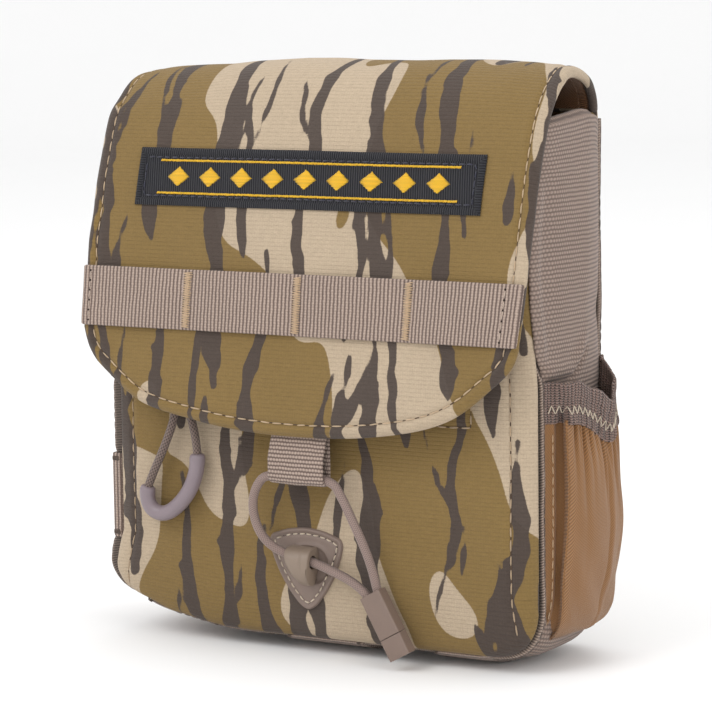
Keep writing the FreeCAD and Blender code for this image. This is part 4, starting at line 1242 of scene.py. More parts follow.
# gold satin stitch: two fine lines and a row of plain diamonds, thread by thread
M_GOLD = thread_mat("gold_thread", srgb("#F7C21B"), rough=0.42, sheen=0.2)
th = Thread(5)
rng = random.Random(21)
LINES = [(172.6, 173.4), (161.4, 162.2)]
for z0, z1 in LINES:
    x = -60.0
    while x < 60:
        a, n = patch_point(np.array([x, x + 0.28]), np.array([z0 + rng.uniform(-0.08, 0.08), z1 + rng.uniform(-0.08, 0.08)]), np.array([0.70, 0.70]))
        th.stitch(a[0], a[1], n[0], 0.42, 0.16)
        x += 0.44
for k in range(-4, 5):
    cx = k * 13.0
    z = 164.1
    while z < 170.75:
        hw = 4.6 * (1 - abs(z - 167.4) / 3.4)
        if hw > 0.25:
            j0, j1 = rng.uniform(-0.16, 0.16), rng.uniform(-0.16, 0.16)
            a, n = patch_point(np.array([cx - hw + j0, cx + hw + j1]), np.array([z, z + 0.06]), np.array([0.74, 0.74]))
            th.stitch(a[0], a[1], n[0], 0.47, 0.22)
        z += 0.36
gold = th.done("patch_gold_stitching", M_GOLD, "flap")
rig.slot(gold, "gold_thread")
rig.replaces(gold, "patch_stitching")

# ---------------------------------------------------------------- body panels
HALF_W, BASE_Z, PANEL_TOP, BACK_TOP, CORNER = 85.0, 5.7, 166.0, 189.4, 24.0


def rounded_rect_point(a, b, w, z0, z1, rt, rb):
    """Maps the square (a, b) in [-1, 1] onto a rectangle with rounded corners."""
    cz, h = (z0 + z1) / 2, (z1 - z0) / 2
    x, z = a * w, cz + b * h
    r = np.maximum(np.abs(a), np.abs(b))
    for sx in (-1, 1):
        for sz, rad in ((-1, rb), (1, rt)):
            # squeeze the corner block of the outline back to its arc, fading inwards
            gx, gz = sx * a * w - (w - rad), sz * (z - cz) - (h - rad)
            inn = (gx > 0) & (gz > 0)
            m = np.maximum(gx, gz)
            l = np.hypot(gx, gz)
            k = np.where(inn & (l > 0), m / np.maximum(l, 1e-9), 1.0)
            k = 1 + (k - 1) * np.clip(m / rad, 0, 1) ** 1.0
            x = np.where(inn, sx * ((w - rad) + gx * k), x)
            z = np.where(inn, cz + sz * ((h - rad) + gz * k), z)
    return x, z


def rect_edge(x, z, w, z0, z1, rt, rb):
    """Distance inside a rounded rectangle's edge."""
    cz, h = (z0 + z1) / 2, (z1 - z0) / 2
    rad = np.where(z > cz, rt, rb)
    qx, qz = np.abs(x) - (w - rad), np.abs(z - cz) - (h - rad)
    return -(np.hypot(np.maximum(qx, 0), np.maximum(qz, 0)) + np.minimum(np.maximum(qx, qz), 0) - rad)


def lift_of(x):
    return np.interp(x, [-84, -80, -76, -73, -69, -65, -60, -55, -50, -45, -40, -30], [0.6, 1.2, 2.2, 3.0, 3.7, 3.9, 3.5, 2.6, 1.7, 0.9, 0.4, 0])


def left_in(x):
    """The front panel's left edge stands a little inside its binding."""
    return x + 1.9 * np.clip((-60 - x) / 22.0, 0, 1)


def settle(P):
    """The filled base is not a perfect rounded box: its left end is drawn up a little and its
    right corner is fuller. Its back edge is drawn in on the right. Points in mm."""
    P = np.array(P, float)
    x, y, z = P[..., 0].copy(), P[..., 1].copy(), P[..., 2].copy()
    dx, dz = x - 61.0, (BASE_Z + CORNER) - z
    rho = np.maximum(np.hypot(dx, dz), 1e-6)
    k = 1 + 0.125 * (2 * dx * dz / rho ** 2) ** 2 * np.clip(rho / 24, 0, 1.1) ** 2 * np.clip((36 - rho) / 7, 0, 1)
    q = (dx > 0) & (dz > 0)
    P[..., 0] = np.where(q, 61.0 + dx * k, x)
    P[..., 2] = np.where(q, BASE_Z + CORNER - dz * k, z)
    dl = -61.0 - x
    rho = np.maximum(np.hypot(dl, dz), 1e-6)
    k = 1 - 0.105 * (2 * dl * dz / rho ** 2) ** 2 * np.clip(rho / 24, 0, 1.1) ** 2 * np.clip((36 - rho) / 7, 0, 1)
    q = (dl > 0) & (dz > 0)
    P[..., 0] = np.where(q, -61.0 - dl * k, P[..., 0])
    P[..., 2] = np.where(q, BASE_Z + CORNER - dz * k, P[..., 2])
    low = np.clip((46 - z) / 40.0, 0, 1)
    P[..., 2] += lift_of(x) * low
    P[..., 0] -= 1.0 * np.clip((y - 8) / 13.0, 0, 1) * np.clip((x - 40) / 30.0, 0, 1)
    # the left corner is stuffed out sideways above its drawn-up base
    full = np.interp(z, [6.5, 8.8, 10.5, 12.6, 15, 18, 22, 25, 28, 32, 35, 38], [0, 2.0, 4.2, 5.6, 6.1, 5.8, 5.0, 4.1, 2.9, 1.9, 1.1, 0])
    P[..., 0] -= full * ease_in(-x, 56, 82) * (1 - 0.5 * np.clip((y + 24) / 40.0, 0, 1))
    # under the flap the right front edge leans in
    P[..., 0] -= 3.2 * np.clip((x - 48) / 35.0, 0, 1) ** 1.5 * np.clip((6 - y) / 28.0, 0, 1) * ease_in(z, 96, 135) * (1 - ease_in(z, 150, 188))
    return P


LEVEL_E = [0.0, 1.0, 4.5, 12.0, 24.0, 40.0]
LEVEL_Y = [28.2, 29.4, 31.1, 32.4, 33.1, 33.2]
_le = spline(list(zip(LEVEL_E, LEVEL_Y)), 200)


def crown_y(x, z):
    """Front of the crowned front panel (positive outwards)."""
    side = HALF_W - np.abs(x)
    low = z - BASE_Z
    qx, qz = np.abs(x) - (HALF_W - CORNER), (BASE_Z + CORNER) - z
    corner = CORNER - np.hypot(np.maximum(qx, 0), np.maximum(qz, 0))
    e = np.where((qx > 0) & (qz > 0), corner, np.minimum(side, low))
    top = PANEL_TOP - z
    et = np.where(top < 25.2, top / 2.1, (top - 12) / 1.1)
    k = 3.0
    m = np.minimum(e, et)
    e = m - k * 0.25 * np.clip(1 - np.abs(e - et) / k, 0, 1) ** 2
    return np.interp(np.clip(e, 0, 40), _le[:, 0], _le[:, 1]), e


def with_lines(lo, hi, step, extra):
    a = list(np.linspace(lo, hi, int((hi - lo) / step) + 1))
    a = [q for q in a if min([abs(q - v) for v in extra] + [9]) > step * 0.35] + list(extra)
    return np.array(sorted(a))


wave_c, wave_d = waves(31, 7, 35, 120), waves(33, 6, 12, 34)
ZW0, ZW1, ZWX = 92.0, 100.0, 58.0
ax = with_lines(-85, 85, 1.08, [-85 + 0.6, -85 + 1.4, -85 + 2.6, 85 - 0.6, 85 - 1.4, 85 - 2.6, -ZWX, ZWX, -78.6, -77, -75.4, 75.4, 77, 78.6])
az = with_lines(5.7, 166, 1.08, [6.3, 7.1, 8.3, ZW0, ZW1, 84.0, 85.0, 86.0])
A, B = np.meshgrid(ax / 85.0, (az - 85.85) / 80.15, indexing="ij")
X, Z = rounded_rect_point(A, B, 85.0, BASE_Z, PANEL_TOP, 5.0, CORNER)
X, Z = X.ravel(), Z.ravel()
Y, Ecr = crown_y(X, Z)
Etrue = rect_edge(X, Z, 85.0, BASE_Z, PANEL_TOP, 5.0, CORNER)


def panel_relief(x, z, e):
    d = 0.5 * wave_c(x, z) * np.clip(e / 15, 0, 1) + 0.12 * wave_d(x, z) * np.clip(e / 8, 0, 1)
    side = np.abs(np.abs(x) - 77.0)
    d = d - 0.5 * np.exp(-(side / 0.8) ** 2) + 0.15 * np.exp(-((side - 2.2) / 1.1) ** 2)
    # zip placket stitch line round the zip
    box = np.maximum(np.abs(x) - 62.7, np.abs(z - 96.0) - 11.0)
    d = d - 0.32 * np.exp(-(box / 0.8) ** 2)
    inside = np.clip(-box / 3.0, 0, 1)
    d = d + 0.25 * inside
    d = d - 0.5 * np.clip(1 - e / 2.0, 0, 1) ** 2
    # a soft dent under the weight of the closure and a fuller lower belly
    d = d + 0.5 * np.exp(-(((x - 2) / 60.0) ** 2 + ((z - 45) / 40.0) ** 2))
    return d


Vn = settle(np.stack([left_in(X), -(Y + panel_relief(X, Z, Etrue)), Z], 1))
keep = np.ones((len(ax) - 1, len(az) - 1), bool)
cxm = (ax[:-1] + ax[1:]) / 2
czm = (az[:-1] + az[1:]) / 2
keep[np.ix_(np.abs(cxm) < ZWX, (czm > ZW0) & (czm < ZW1))] = False
pat = np.stack([X + 300, Z, np.zeros(len(X))], 1)
front_p = thick("front_panel_cloth", Vn, grid_faces(len(ax), len(az), keep, flip=False), 2.6, pat, [M_FRONT, M_BIND], bulge=0.42, rings=4, edge=Etrue)
print_on(front_p, 12, 0.42, 0.84, 147, (172.0, 163.0))
place(front_p, "pouch", "camo_fabric", ["front_panel"])
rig.padded(front_p, 0.6)


def panel_point(x, z, off=0.0, relief=True):
    x, z = np.asarray(x, float), np.asarray(z, float)
    y, e = crown_y(x, z)
    if relief:
        y = y + panel_relief(x, z, rect_edge(x, z, 85.0, BASE_Z, PANEL_TOP, 5.0, CORNER))
    h = 0.4
    gx = (crown_y(x + h, z)[0] - crown_y(x - h, z)[0]) / (2 * h)
    gz = (crown_y(x, z + h)[0] - crown_y(x, z - h)[0]) / (2 * h)
    n = np.stack([-gx, -np.ones_like(gx), -gz], -1)
    n /= np.linalg.norm(n, axis=-1, keepdims=True)
    p = settle(np.stack([left_in(x), -y, z], -1))
    return p + n * np.asarray(off)[..., None] if np.ndim(off) else p + n * off, n


# front panel topstitch, with painted shade in the dimples between its stitches
th, dimple_shade = Thread(), Thread(5)
for sx in (-77.0, 77.0):
    zz = np.linspace(15.5, 163.0, 500)
    P3, N3 = panel_point(np.full(500, sx), zz, 0.12)
    th.run(P3, N3, pitch=4.9, size=3.6, d=0.56, lift=0.14, seed=int(abs(sx)) + (sx > 0), holes=dimple_shade)
placket = [(-62.7, 107), (-62.7, 85), (62.7, 85), (62.7, 107), (-62.7, 107)]
pp = even(rounded(placket, 1.0, 3), 1600)
P3, N3 = panel_point(pp[:, 0], pp[:, 1], 0.12)
th.run(P3, N3, pitch=4.6, size=3.3, d=0.58, lift=0.20, seed=19, holes=dimple_shade)
th.done("front_panel_stitching", M_THREAD_F, "pouch")
dimple_shade.done("front_panel_stitch_dimples", M_DIMPLE_SHADE, "pouch")

# back panel: flat foam-backed camouflage cloth with the same soft edge
ax = with_lines(-83.4, 83.4, 1.25, [-82.6, -81.4, 82.6, 81.4])
az = with_lines(7.3, 189.4, 1.25, [8.0, 9.2, 188.8, 187.6])
A, B = np.meshgrid(ax / 83.4, (az - 98.35) / 91.05, indexing="ij")
X, Z = rounded_rect_point(A, B, 83.4, 7.3, 189.4, 6.0, 22.4)
X, Z = X.ravel(), Z.ravel()
Eb = rect_edge(X, Z, 83.4, 7.3, 189.4, 6.0, 22.4)
wave_e = waves(41, 7, 35, 110)


def back_relief(x, z, e):
    d = 0.25 * wave_e(x, z) * np.clip(e / 15, 0, 1) - 0.9 * np.clip(1 - e / 5.0, 0, 1) ** 2
    return d - 0.35 * np.exp(-((e - 6.5) / 0.8) ** 2) - 0.1


Yb = 28.0 + back_relief(X, Z, Eb)
Vb = settle(np.stack([X, Yb, Z], 1))
pat = np.stack([-X + 700, Z, np.zeros(len(X))], 1)
back_p = thick("back_panel_cloth", Vb, grid_faces(len(ax), len(az), flip=True), 2.4, pat, [M_BACK, M_LINING_P], bulge=0.45, rings=3, edge=Eb)
print_on(back_p, 9, 0.45, 0.86)
place(back_p, "pouch", "camo_fabric", ["back_panel"])
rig.padded(back_p, 0.4)
th = Thread()
loop = []
ring = []
w_, z0_, z1_, rt_, rb_ = 83.4 - 6.5, 7.3 + 6.5, 189.4 - 6.5, 2.0, 16.0
for cx, cz, rr, a0 in ((-w_ + rb_, z0_ + rb_, rb_, math.pi), (w_ - rb_, z0_ + rb_, rb_, 1.5 * math.pi), (w_ - rt_, z1_ - rt_, rt_, 0.0), (-w_ + rt_, z1_ - rt_, rt_, 0.5 * math.pi)):
    for k in range(13):
        g = a0 + 0.5 * math.pi * k / 12
        ring.append((cx + rr * math.cos(g), cz + rr * math.sin(g)))
ring.append(ring[0])
ring = even(np.array(ring), 1600)
yb = 28.0 + back_relief(ring[:, 0], ring[:, 1], rect_edge(ring[:, 0], ring[:, 1], 83.4, 7.3, 189.4, 6.0, 22.4)) + 0.1
P3 = settle(np.stack([ring[:, 0], yb, ring[:, 1]], 1))
th.run(P3, np.tile([0, 1.0, 0], (len(P3), 1)), pitch=4.9, size=3.9, d=0.6, lift=0.2, seed=31)
th.done("back_panel_stitching", M_THREAD, "pouch")

# ------------------------------------------------- side webbing, binding, hinge


def u_path(inset, top, bottom_r=CORNER, step=1.1, corner_n=34):
    """Body outline in (x, z) from the right top, under the base, to the left top."""
    w = HALF_W - inset
    b = BASE_Z + inset
    r = bottom_r - inset
    p = [(w, z) for z in np.arange(top, b + r, -step)]
    p += [(w - r + r * math.cos(g), b + r + r * math.sin(g)) for g in np.linspace(0, -math.pi / 2, corner_n)]
    p += [(x, b) for x in np.arange(w - r - step, -(w - r), -step)]
    p += [(-w + r + r * math.cos(g), b + r + r * math.sin(g)) for g in np.linspace(-math.pi / 2, -math.pi, corner_n)]
    p += [(-w, z) for z in np.arange(b + r + step, top + 0.01, step)]
    return np.array(p)


up2 = u_path(0.0, 188.4)
# each top end folds over and down inside, as a sewn hem
fold = [(85.0 - 1.25 + 1.25 * math.cos(g), 188.4 + 1.25 * math.sin(g)) for g in np.linspace(0, math.pi, 9)][1:]
down = [(82.5, z) for z in np.arange(187.0, 177.0, -1.6)]
hem_r = np.array((fold + down)[::-1])
path = np.vstack([hem_r, up2, (hem_r * [-1, 1])[::-1]])
al = np.concatenate([[0], np.cumsum(np.linalg.norm(np.diff(path, axis=0), axis=1))])
gy = np.linspace(-22.7, 22.7, 46)
d = np.gradient(path, axis=0)
d /= np.linalg.norm(d, axis=1)[:, None]
pn = np.stack([-d[:, 1], d[:, 0]], 1)                 # outward, checked below
if pn[len(path) // 2, 1] > 0:
    pn = -pn
wave_f, wave_g = waves(51, 7, 22, 60), waves(52, 5, 9, 22)
I, J = np.meshgrid(np.arange(len(path)), np.arange(len(gy)), indexing="ij")
px_, pz_ = path[I, 0], path[I, 1]
yy = gy[J]
hi = np.clip((pz_ - 60) / 60, 0, 1)
inner = ((al[I] < al[len(hem_r)]) | (al[I] > al[-1] - al[len(hem_r)])).astype(float)
# front top corners are cut back under the flap
front_cut = -22.7 + np.clip((pz_ - 181.0) / 8.4, 0, 1) ** 2 * 4.0
yy = np.where(pz_ > 170, front_cut + (yy + 22.7) / 45.4 * (22.7 - front_cut), yy)
full = 1 - np.abs(yy / 22.7) ** 4
bow = np.where(px_ > 0, 2.7, 1.9) * full * hi + np.where(px_ > 0, 0.5, 0.25) * wave_f(al[I], yy) * hi * full + 0.10 * wave_g(al[I], yy)
# crease where the pocket's elastic pulls on the right side
bow = bow - np.where(px_ > 0, 0.9 * np.exp(-((pz_ - 128 + yy * 0.35) / 9.0) ** 2) * np.clip((yy + 10) / 25, 0, 1), 0)
# and a pinched fold just above the elastic, running up towards the back
zc = 100.6 + 9.5 * np.clip((yy + 6.0) / 12.0, 0, 1) ** 1.3
near = np.clip((8.0 - yy) / 6.0, 0, 1) * (px_ > 0)
bow = bow + near * (1.5 * np.exp(-((pz_ - zc - 3.2) / 3.0) ** 2) - 2.0 * np.exp(-((pz_ - zc + 1.2) / 1.7) ** 2)) * np.clip(full * 2.2, 0, 1)
bow = bow * (1 - inner * 0.8)
low = np.clip(1 - pz_ / 40.0, 0, 1)
bow = bow * (1 - low * 0.9)
# the bottom right corner is stuffed out below the pocket
bow = bow + 3.0 * full * np.exp(-((px_ - 74.0) / 13.0) ** 2) * (pz_ < 40)
# a soft hem, lower at its back and front corners
hem_z = np.clip((pz_ - 168.0) / 20.0, 0, 1)
drop = -3.6 * np.clip((yy - 12.0) / 10.7, 0, 1) ** 2 - 1.8 * np.clip((-yy - 4.0) / 14.0, 0, 1) ** 2 + 0.5 * np.sin(yy / 5.0)
bow = bow + 0.5 * hem_z * full
q = path[I] + pn[I] * bow[..., None]
# above the front panel the gusset's free edge stands forward, against the flap
near = np.clip((-yy - 14.0) / 8.7, 0, 1)
fore = -3.2 * near * np.clip((pz_ - 166.0) / 8.0, 0, 1)
over = (px_ > 0) * ease_in(pz_, 102, 113)
fore = np.where(px_ > 0, -near * (4.6 * over - 1.2 * ease_in(pz_, 160, 178)), fore)
# there it passes outside the front panel's edge
out = 1.35 * over * ease_in(-yy - fore, 19.5, 24.0) * (1 - ease_in(pz_, 162, 172))
Vg = settle(np.stack([q[..., 0] + out, yy + fore, q[..., 1] + drop * hem_z], -1)).reshape(-1, 3)
patg = np.stack([yy.ravel(), al[I].ravel(), np.zeros(yy.size)], 1)
gus = thick("side_webbing_strip", Vg, grid_faces(len(path), len(gy), flip=False), 1.2, patg, [M_GUSSET], bulge=0.5, rings=3)
place(gus, "pouch", "webbing", ["side_gusset"])


def binding(name, y, top, reach, half_t):
    """Tape folded over the seam allowance. reach gives where the tape starts and ends outside
    the body's outline."""
    p = u_path(0.0, top)
    dd = np.gradient(p, axis=0)
    dd /= np.linalg.norm(dd, axis=1)[:, None]
    nn = np.stack([-dd[:, 1], dd[:, 0]], 1)
    if nn[len(p) // 2, 1] > 0:
        nn = -nn
    L = np.concatenate([[0], np.cumsum(np.linalg.norm(np.diff(p, axis=0), axis=1))])
    wob = 0.16 * np.sin(L / 7.1) + 0.12 * np.sin(L / 3.3 + 1)
    lo, hi_ = reach(p)
    m = 20
    V = np.zeros((len(p), m, 3))
    pat = np.zeros((len(p), m, 3))
    rim = np.zeros((len(p), m), np.float32)
    around = 0.0
    last = None
    for k in range(m):
        g = 2 * math.pi * k / m
        c, s_ = math.cos(g), math.sin(g)
        a = 0.5 + 0.5 * abs(c) ** 0.8 * (1 if c > 0 else -1)
        b = half_t * abs(s_) ** 0.75 * (1 if s_ > 0 else -1)
        o = lo + (hi_ + wob * 0.6 - lo) * a
        # on the left the front tape's rim is lowered: more painted shade, where the tape turns away from the light
        rim[:, k] = a - (0.2 * np.clip((-p[:, 0] - 70) / 10.0, 0, 1) if y < 0 else 0)
        q = p + nn * o[:, None]
        V[:, k] = np.stack([q[:, 0], np.full(len(p), y + b) + wob * 0.5, q[:, 1]], 1)
        if last is not None:
            around += float(np.linalg.norm(V[0, k] - last))
        last = V[0, k].copy()
        pat[:, k] = np.stack([np.full(len(p), around), L, 0 * L], 1)
    faces = []
    for i in range(len(p) - 1):
        for j in range(m):
            k = (j + 1) % m
            faces.append((i * m + j, i * m + k, (i + 1) * m + k, (i + 1) * m + j))
    faces.append(tuple(range(m))[::-1])
    faces.append(tuple((len(p) - 1) * m + j for j in range(m)))
    ob = make(name, settle(V.reshape(-1, 3)), faces, [M_BIND], None, {"pat": pat.reshape(-1, 3)})
    # rim runs from 0 at the tape's side by the panel to 1 at its outer fold; the twill turns low values into painted
    # shade
    ob.data.attributes.new("rim", "FLOAT", "POINT").data.foreach_set("value", rim.ravel())
    fix_normals(ob)
    return ob


LOOPS_Z = (50.0, 109.0, 168.0)


def front_reach(p):
    """Stands out widest down the left side, where the lashing loops hold it in."""
    x, z = p[:, 0], p[:, 1]
    hold = np.max([np.clip((17.5 - np.abs(z - c)) / 4.0, 0, 1) for c in LOOPS_Z], axis=0)
    left = np.where(x < -60, np.clip((-60 - x) / 20.0, 0, 1), 0) * np.clip((z - 12) / 22.0, 0, 1)
    hi_ = 1.35 + 0.85 * np.clip((z - 9) / 16, 0, 1) + left * (1.3 - 1.5 * hold) - 1.2 * np.clip((x - 60) / 20.0, 0, 1) * np.clip((z - 9) / 16, 0, 1)
    # above the pocket the right side's tape lies under the gusset's edge
    under = (x > 0) * ease_in(z, 99, 108)
    return -1.3 - 1.1 * under, hi_ * (1 - under) - 1.4 * under


def back_reach(p):
    return -1.9 + 0 * p[:, 0], 0.1 + 0.15 * np.sin(p[:, 1] / 9.0)


bf = binding("front_binding_tape", -24.3, 172.0, front_reach, 0.85)
place(bf, "pouch", "binding_tape", ["front_binding"])
bb = binding("back_binding_tape", 24.1, 187.0, back_reach, 1.15)
place(bb, "pouch", "binding_tape", ["back_binding"])

# binding thread on the outer face of each binding
th = Thread(5)
for y, top, reach in ((-24.3, 170.0, front_reach), (24.1, 185.0, back_reach)):
    p = u_path(0.0, top)
    dd = np.gradient(p, axis=0)
    dd /= np.linalg.norm(dd, axis=1)[:, None]
    nn = np.stack([-dd[:, 1], 0 * dd[:, 0], dd[:, 0]], 1)
    if nn[len(p) // 2, 2] > 0:
        nn = -nn
    P3 = settle(np.stack([p[:, 0], np.full(len(p), y), p[:, 1]], 1) + nn * (reach(p)[1] + 0.05)[:, None])
    th.run(P3, nn, pitch=3.6, size=2.8, d=0.36, lift=0.05, seed=44)
th.done("binding_stitching", M_THREAD_B, "pouch")

# cloth hinge between the back panel and the flap
hy = rounded([(29.3, 181.0), (29.2, 186.5), (28.2, 190.6), (25.6, 194.3), (24.9, 197.2)], 2.5, 6)
hy = even(hy, 26)
hx = np.linspace(-82.4, 80.2, 150)
HX, HI = np.meshgrid(hx, np.arange(len(hy)), indexing="ij")
wave_h = waves(61, 6, 25, 80)
Vh = np.stack([HX.ravel(), hy[HI.ravel(), 0] + 0.15 * wave_h(HX.ravel(), HI.ravel() * 1.0), hy[HI.ravel(), 1]], 1)
along = np.linspace(0, length(hy), len(hy))
path_h = np.stack([HX.ravel() + 40, S_END + 10 - along[HI.ravel()] * -1, np.zeros(HX.size)], 1)
hinge = thick("flap_hinge_cloth", Vh, grid_faces(len(hx), len(hy), flip=False), 1.0, path_h, [M_FLAP], bulge=0.5)
print_on(hinge, 14, 0.5)
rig.blend(hinge, "pouch", "flap", tuple(to_row((0, 28, 187.4))), tuple(to_row((0, 26, 194.2))))
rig.slot(hinge, "camo_fabric")


# ---------------------------------------------------------------- lashing loops
def strip(name, pts, c0, c1, axis, t, mat, nw=10, step=1.1, bow=0.0, seed=1, pat0=0.0, rough=0.08, post=None):
    """Webbing that follows a path in one plane and is c1 - c0 wide across it.
    pts is its outer side, walked so that outside is on the path's right."""
    L = length(pts)
    p = even(pts, max(8, int(L / step)))
    al = np.linspace(0, L, len(p))
    w = np.linspace(c0, c1, nw)
    I, J = np.meshgrid(np.arange(len(p)), np.arange(nw), indexing="ij")
    f = (w[J] - (c0 + c1) / 2) / ((c1 - c0) / 2)
    dd = np.gradient(p, axis=0)
    dd /= np.linalg.norm(dd, axis=1)[:, None]
    nn = np.stack([dd[:, 1], -dd[:, 0]], 1)
    wv = waves(seed, 5, 10, 30)
    off = bow * (1 - f ** 2) + rough * wv(al[I], w[J])
    q = p[I] + nn[I] * off[..., None]
    a, b, c = q[..., 0].ravel(), q[..., 1].ravel(), w[J].ravel()
    V = {"x": np.stack([c, a, b], 1), "z": np.stack([a, b, c], 1), "y": np.stack([a, c, b], 1)}[axis]
    pat = np.stack([c, al[I].ravel() + pat0, np.zeros(c.size)], 1)
    fc = grid_faces(len(p), nw)
    # faces must look to the path's right
    Nn = normals_of(V, fc)
    want = {"x": np.stack([0 * c, nn[I][..., 0].ravel(), nn[I][..., 1].ravel()], 1),
            "z": np.stack([nn[I][..., 0].ravel(), nn[I][..., 1].ravel(), 0 * c], 1),
            "y": np.stack([nn[I][..., 0].ravel(), 0 * c, nn[I][..., 1].ravel()], 1)}[axis]
    if (Nn * want).sum() < 0:
        fc = [g[::-1] for g in fc]
    return thick(name, post(V) if post else V, fc, t, pat, [mat], bulge=0.5)


def follow_base(P):
    """The bottom loops are sewn along the base, so they rise with it at its two ends."""
    P = np.array(P, float)
    x, z = P[..., 0], P[..., 2]
    dx = np.clip(np.abs(x) - 61.0, 0, 20)
    rise = lift_of(x) + 1.15 * (CORNER - np.sqrt(CORNER ** 2 - dx ** 2))
    flat = np.where(x < -40, 0.40, 0.0) * np.clip((-40 - x) / 6.0, 0, 1)
    P[..., 2] = np.maximum(z + rise + np.maximum(6.0 - z, 0) * flat, 0.05)
    return P


for k, (nm, cx) in enumerate((("bottom_loop_left", -59.0), ("bottom_loop_middle", 0.0), ("bottom_loop_right", 59.0))):
    pts = rounded([(-26.5, 6.2), (-26.3, 4.4), (-21.0, 2.4), (-12.0, 0.10), (12.0, 0.10), (21.0, 2.4), (26.3, 4.4), (26.5, 6.2)], 2.0, 6)
    ob = strip(nm + "_webbing", pts, cx + 15, cx - 15, "x", 1.2, M_WEB, nw=16, seed=70 + k, rough=0.02, post=follow_base)
    place(ob, "pouch", "webbing", [nm])
th = Thread(5)
for cx in (-59.0, 0.0, 59.0):
    for sx in (-14.2, 14.2):
        z = 4.6
        while z < 6.1:
            for y in (-26.65, 26.65):
                a, b = follow_base([(cx + sx - 0.9, y, z), (cx + sx + 0.9, y, z + 0.1)])
                th.stitch(a, b, (0, y, 0), 0.42, 0.12)
            z += 0.44

LX = -HALF_W - 4.2
for k, (nm, cz) in enumerate(zip(("side_loop_lower", "side_loop_middle", "side_loop_upper"), LOOPS_Z)):
    y0 = -15.0 if nm == "side_loop_upper" else -26.5
    pts = rounded([(-85.1, 26.5), (LX, 26.5), (LX, y0), (-85.1, y0)], 2.6, 8)
    ob = strip(nm + "_webbing", pts, cz - 15, cz + 15, "z", 1.2, M_WEB, seed=80 + k)
    place(ob, "pouch", "webbing", [nm])
    for sz in (-13.6, 13.6):
        x = -85.9
        while x > LX + 1.0:
            th.stitch((x, y0 - 0.15, cz + sz - 0.9), (x - 0.05, y0 - 0.15, cz + sz + 0.9), (0, -1, 0), 0.42, 0.12)
            th.stitch((x, 26.65, cz + sz - 0.9), (x - 0.05, 26.65, cz + sz + 0.9), (0, 1, 0), 0.42, 0.12)
            x -= 0.44
th.done("loop_bartacks", M_THREAD_B, "pouch")

# ------------------------------------------------------------------ closure tab
RO, RI = 3.05, 1.85
f1y, f1z = np.interp(s_of_z(90.0), prof_s, prof[:, 0]), 90.0


def under_flap(z, dist):
    s = s_of_z(z)
    y, zz = np.interp(s, prof_s, prof[:, 0]), np.interp(s, prof_s, prof[:, 1])
    ny, nz = np.interp(s, prof_s, prof_n[:, 0]), np.interp(s, prof_s, prof_n[:, 1])
    return (float(y - ny * dist), float(zz - nz * dist))


tab = [under_flap(91.0, 3.95), under_flap(82.0, 3.95), (FOLD_Y - RO + 0.1, FOLD_Z + 6.5), (FOLD_Y - RO, FOLD_Z)]
tab += [(FOLD_Y + RO * math.cos(g), FOLD_Z + RO * math.sin(g)) for g in np.linspace(math.pi, 2 * math.pi, 15)[1:]]
tab += [(FOLD_Y + RO, FOLD_Z + 5.0), under_flap(82.5, 6.35), under_flap(91.0, 6.35)]
tab = rounded(tab, 1.5, 3)
ob = strip("closure_tab_webbing", tab, 11.5, -9.5, "x", 1.15, M_TAB, nw=18, step=0.7, bow=0.25, seed=90)
place(ob, "flap", "webbing", ["closure_tab"])

# ----------------------------------------------------------------- hook shield
SHIELD = [(-16.2, 43.0), (-9.0, 45.4), (-2.0, 46.2), (5.0, 45.4), (12.0, 43.0), (12.9, 40.5),
          (11.6, 35.5), (9.2, 29.5), (5.6, 23.6), (1.4, 18.4), (-2.0, 16.4), (-5.4, 18.4),
          (-9.6, 23.6), (-13.2, 29.5), (-15.8, 35.5), (-17.1, 40.5)]
sh = even(rounded(SHIELD + SHIELD[:2], 2.4, 5)[1:-1], 241)
# close the loop neatly
d0 = np.linalg.norm(sh[60:] - sh[0], axis=1)
sh = even(np.vstack([sh[:60 + int(np.argmin(d0))], sh[:1]]), 217)
SC = np.array([-2.1, 34.0])


def shield_dist(x, z):
    q = np.stack([np.ravel(x), np.ravel(z)], 1)
    best = np.full(len(q), 1e9)
    for a, b in zip(sh[:-1], sh[1:]):
        dd = b - a
        t = np.clip(((q - a) @ dd) / max(dd @ dd, 1e-9), 0, 1)
        best = np.minimum(best, np.linalg.norm(q - a - t[:, None] * dd, axis=1))
    return best.reshape(np.shape(x))


rr = np.concatenate([np.linspace(0.02, 0.7, 16)[:-1], np.linspace(0.7, 1, 26)])
NT_ = len(sh) - 1
SX = SC[0] + rr[:, None] * (sh[None, :NT_, 0] - SC[0])
SZ = SC[1] + rr[:, None] * (sh[None, :NT_, 1] - SC[1])
se = shield_dist(SX, SZ)


def shield_relief(x, z, e):
    h = 1.15 + 0.35 * np.exp(-((e - 0.75) / 0.62) ** 2) - 0.30 * np.exp(-((e - 2.2) / 0.55) ** 2)
    h = h - 0.8 * np.clip(1 - e / 0.45, 0, 1) ** 2
    # oval collar round the nose
    g = (np.abs((x - 0.2 - 0.06 * (33 - z)) / (7.4 - 0.22 * np.clip(33 - z, 0, 8))) ** 2.6 + np.abs((z - 33.2) / 6.9) ** 2.6) ** (1 / 2.6)
    h = h + 1.0 * np.exp(-((g - 1.0) / 0.085) ** 2) - 0.25 * np.clip((1 - g) / 0.1, 0, 1)
    return h


def shield_point(x, z, off=0.0):
    p, n = panel_point(np.asarray(x, float), np.asarray(z, float), 0.0, relief=False)
    h = shield_relief(np.asarray(x, float), np.asarray(z, float), shield_dist(x, z)) + 0.25
    return p + n * (h + off)[..., None], n


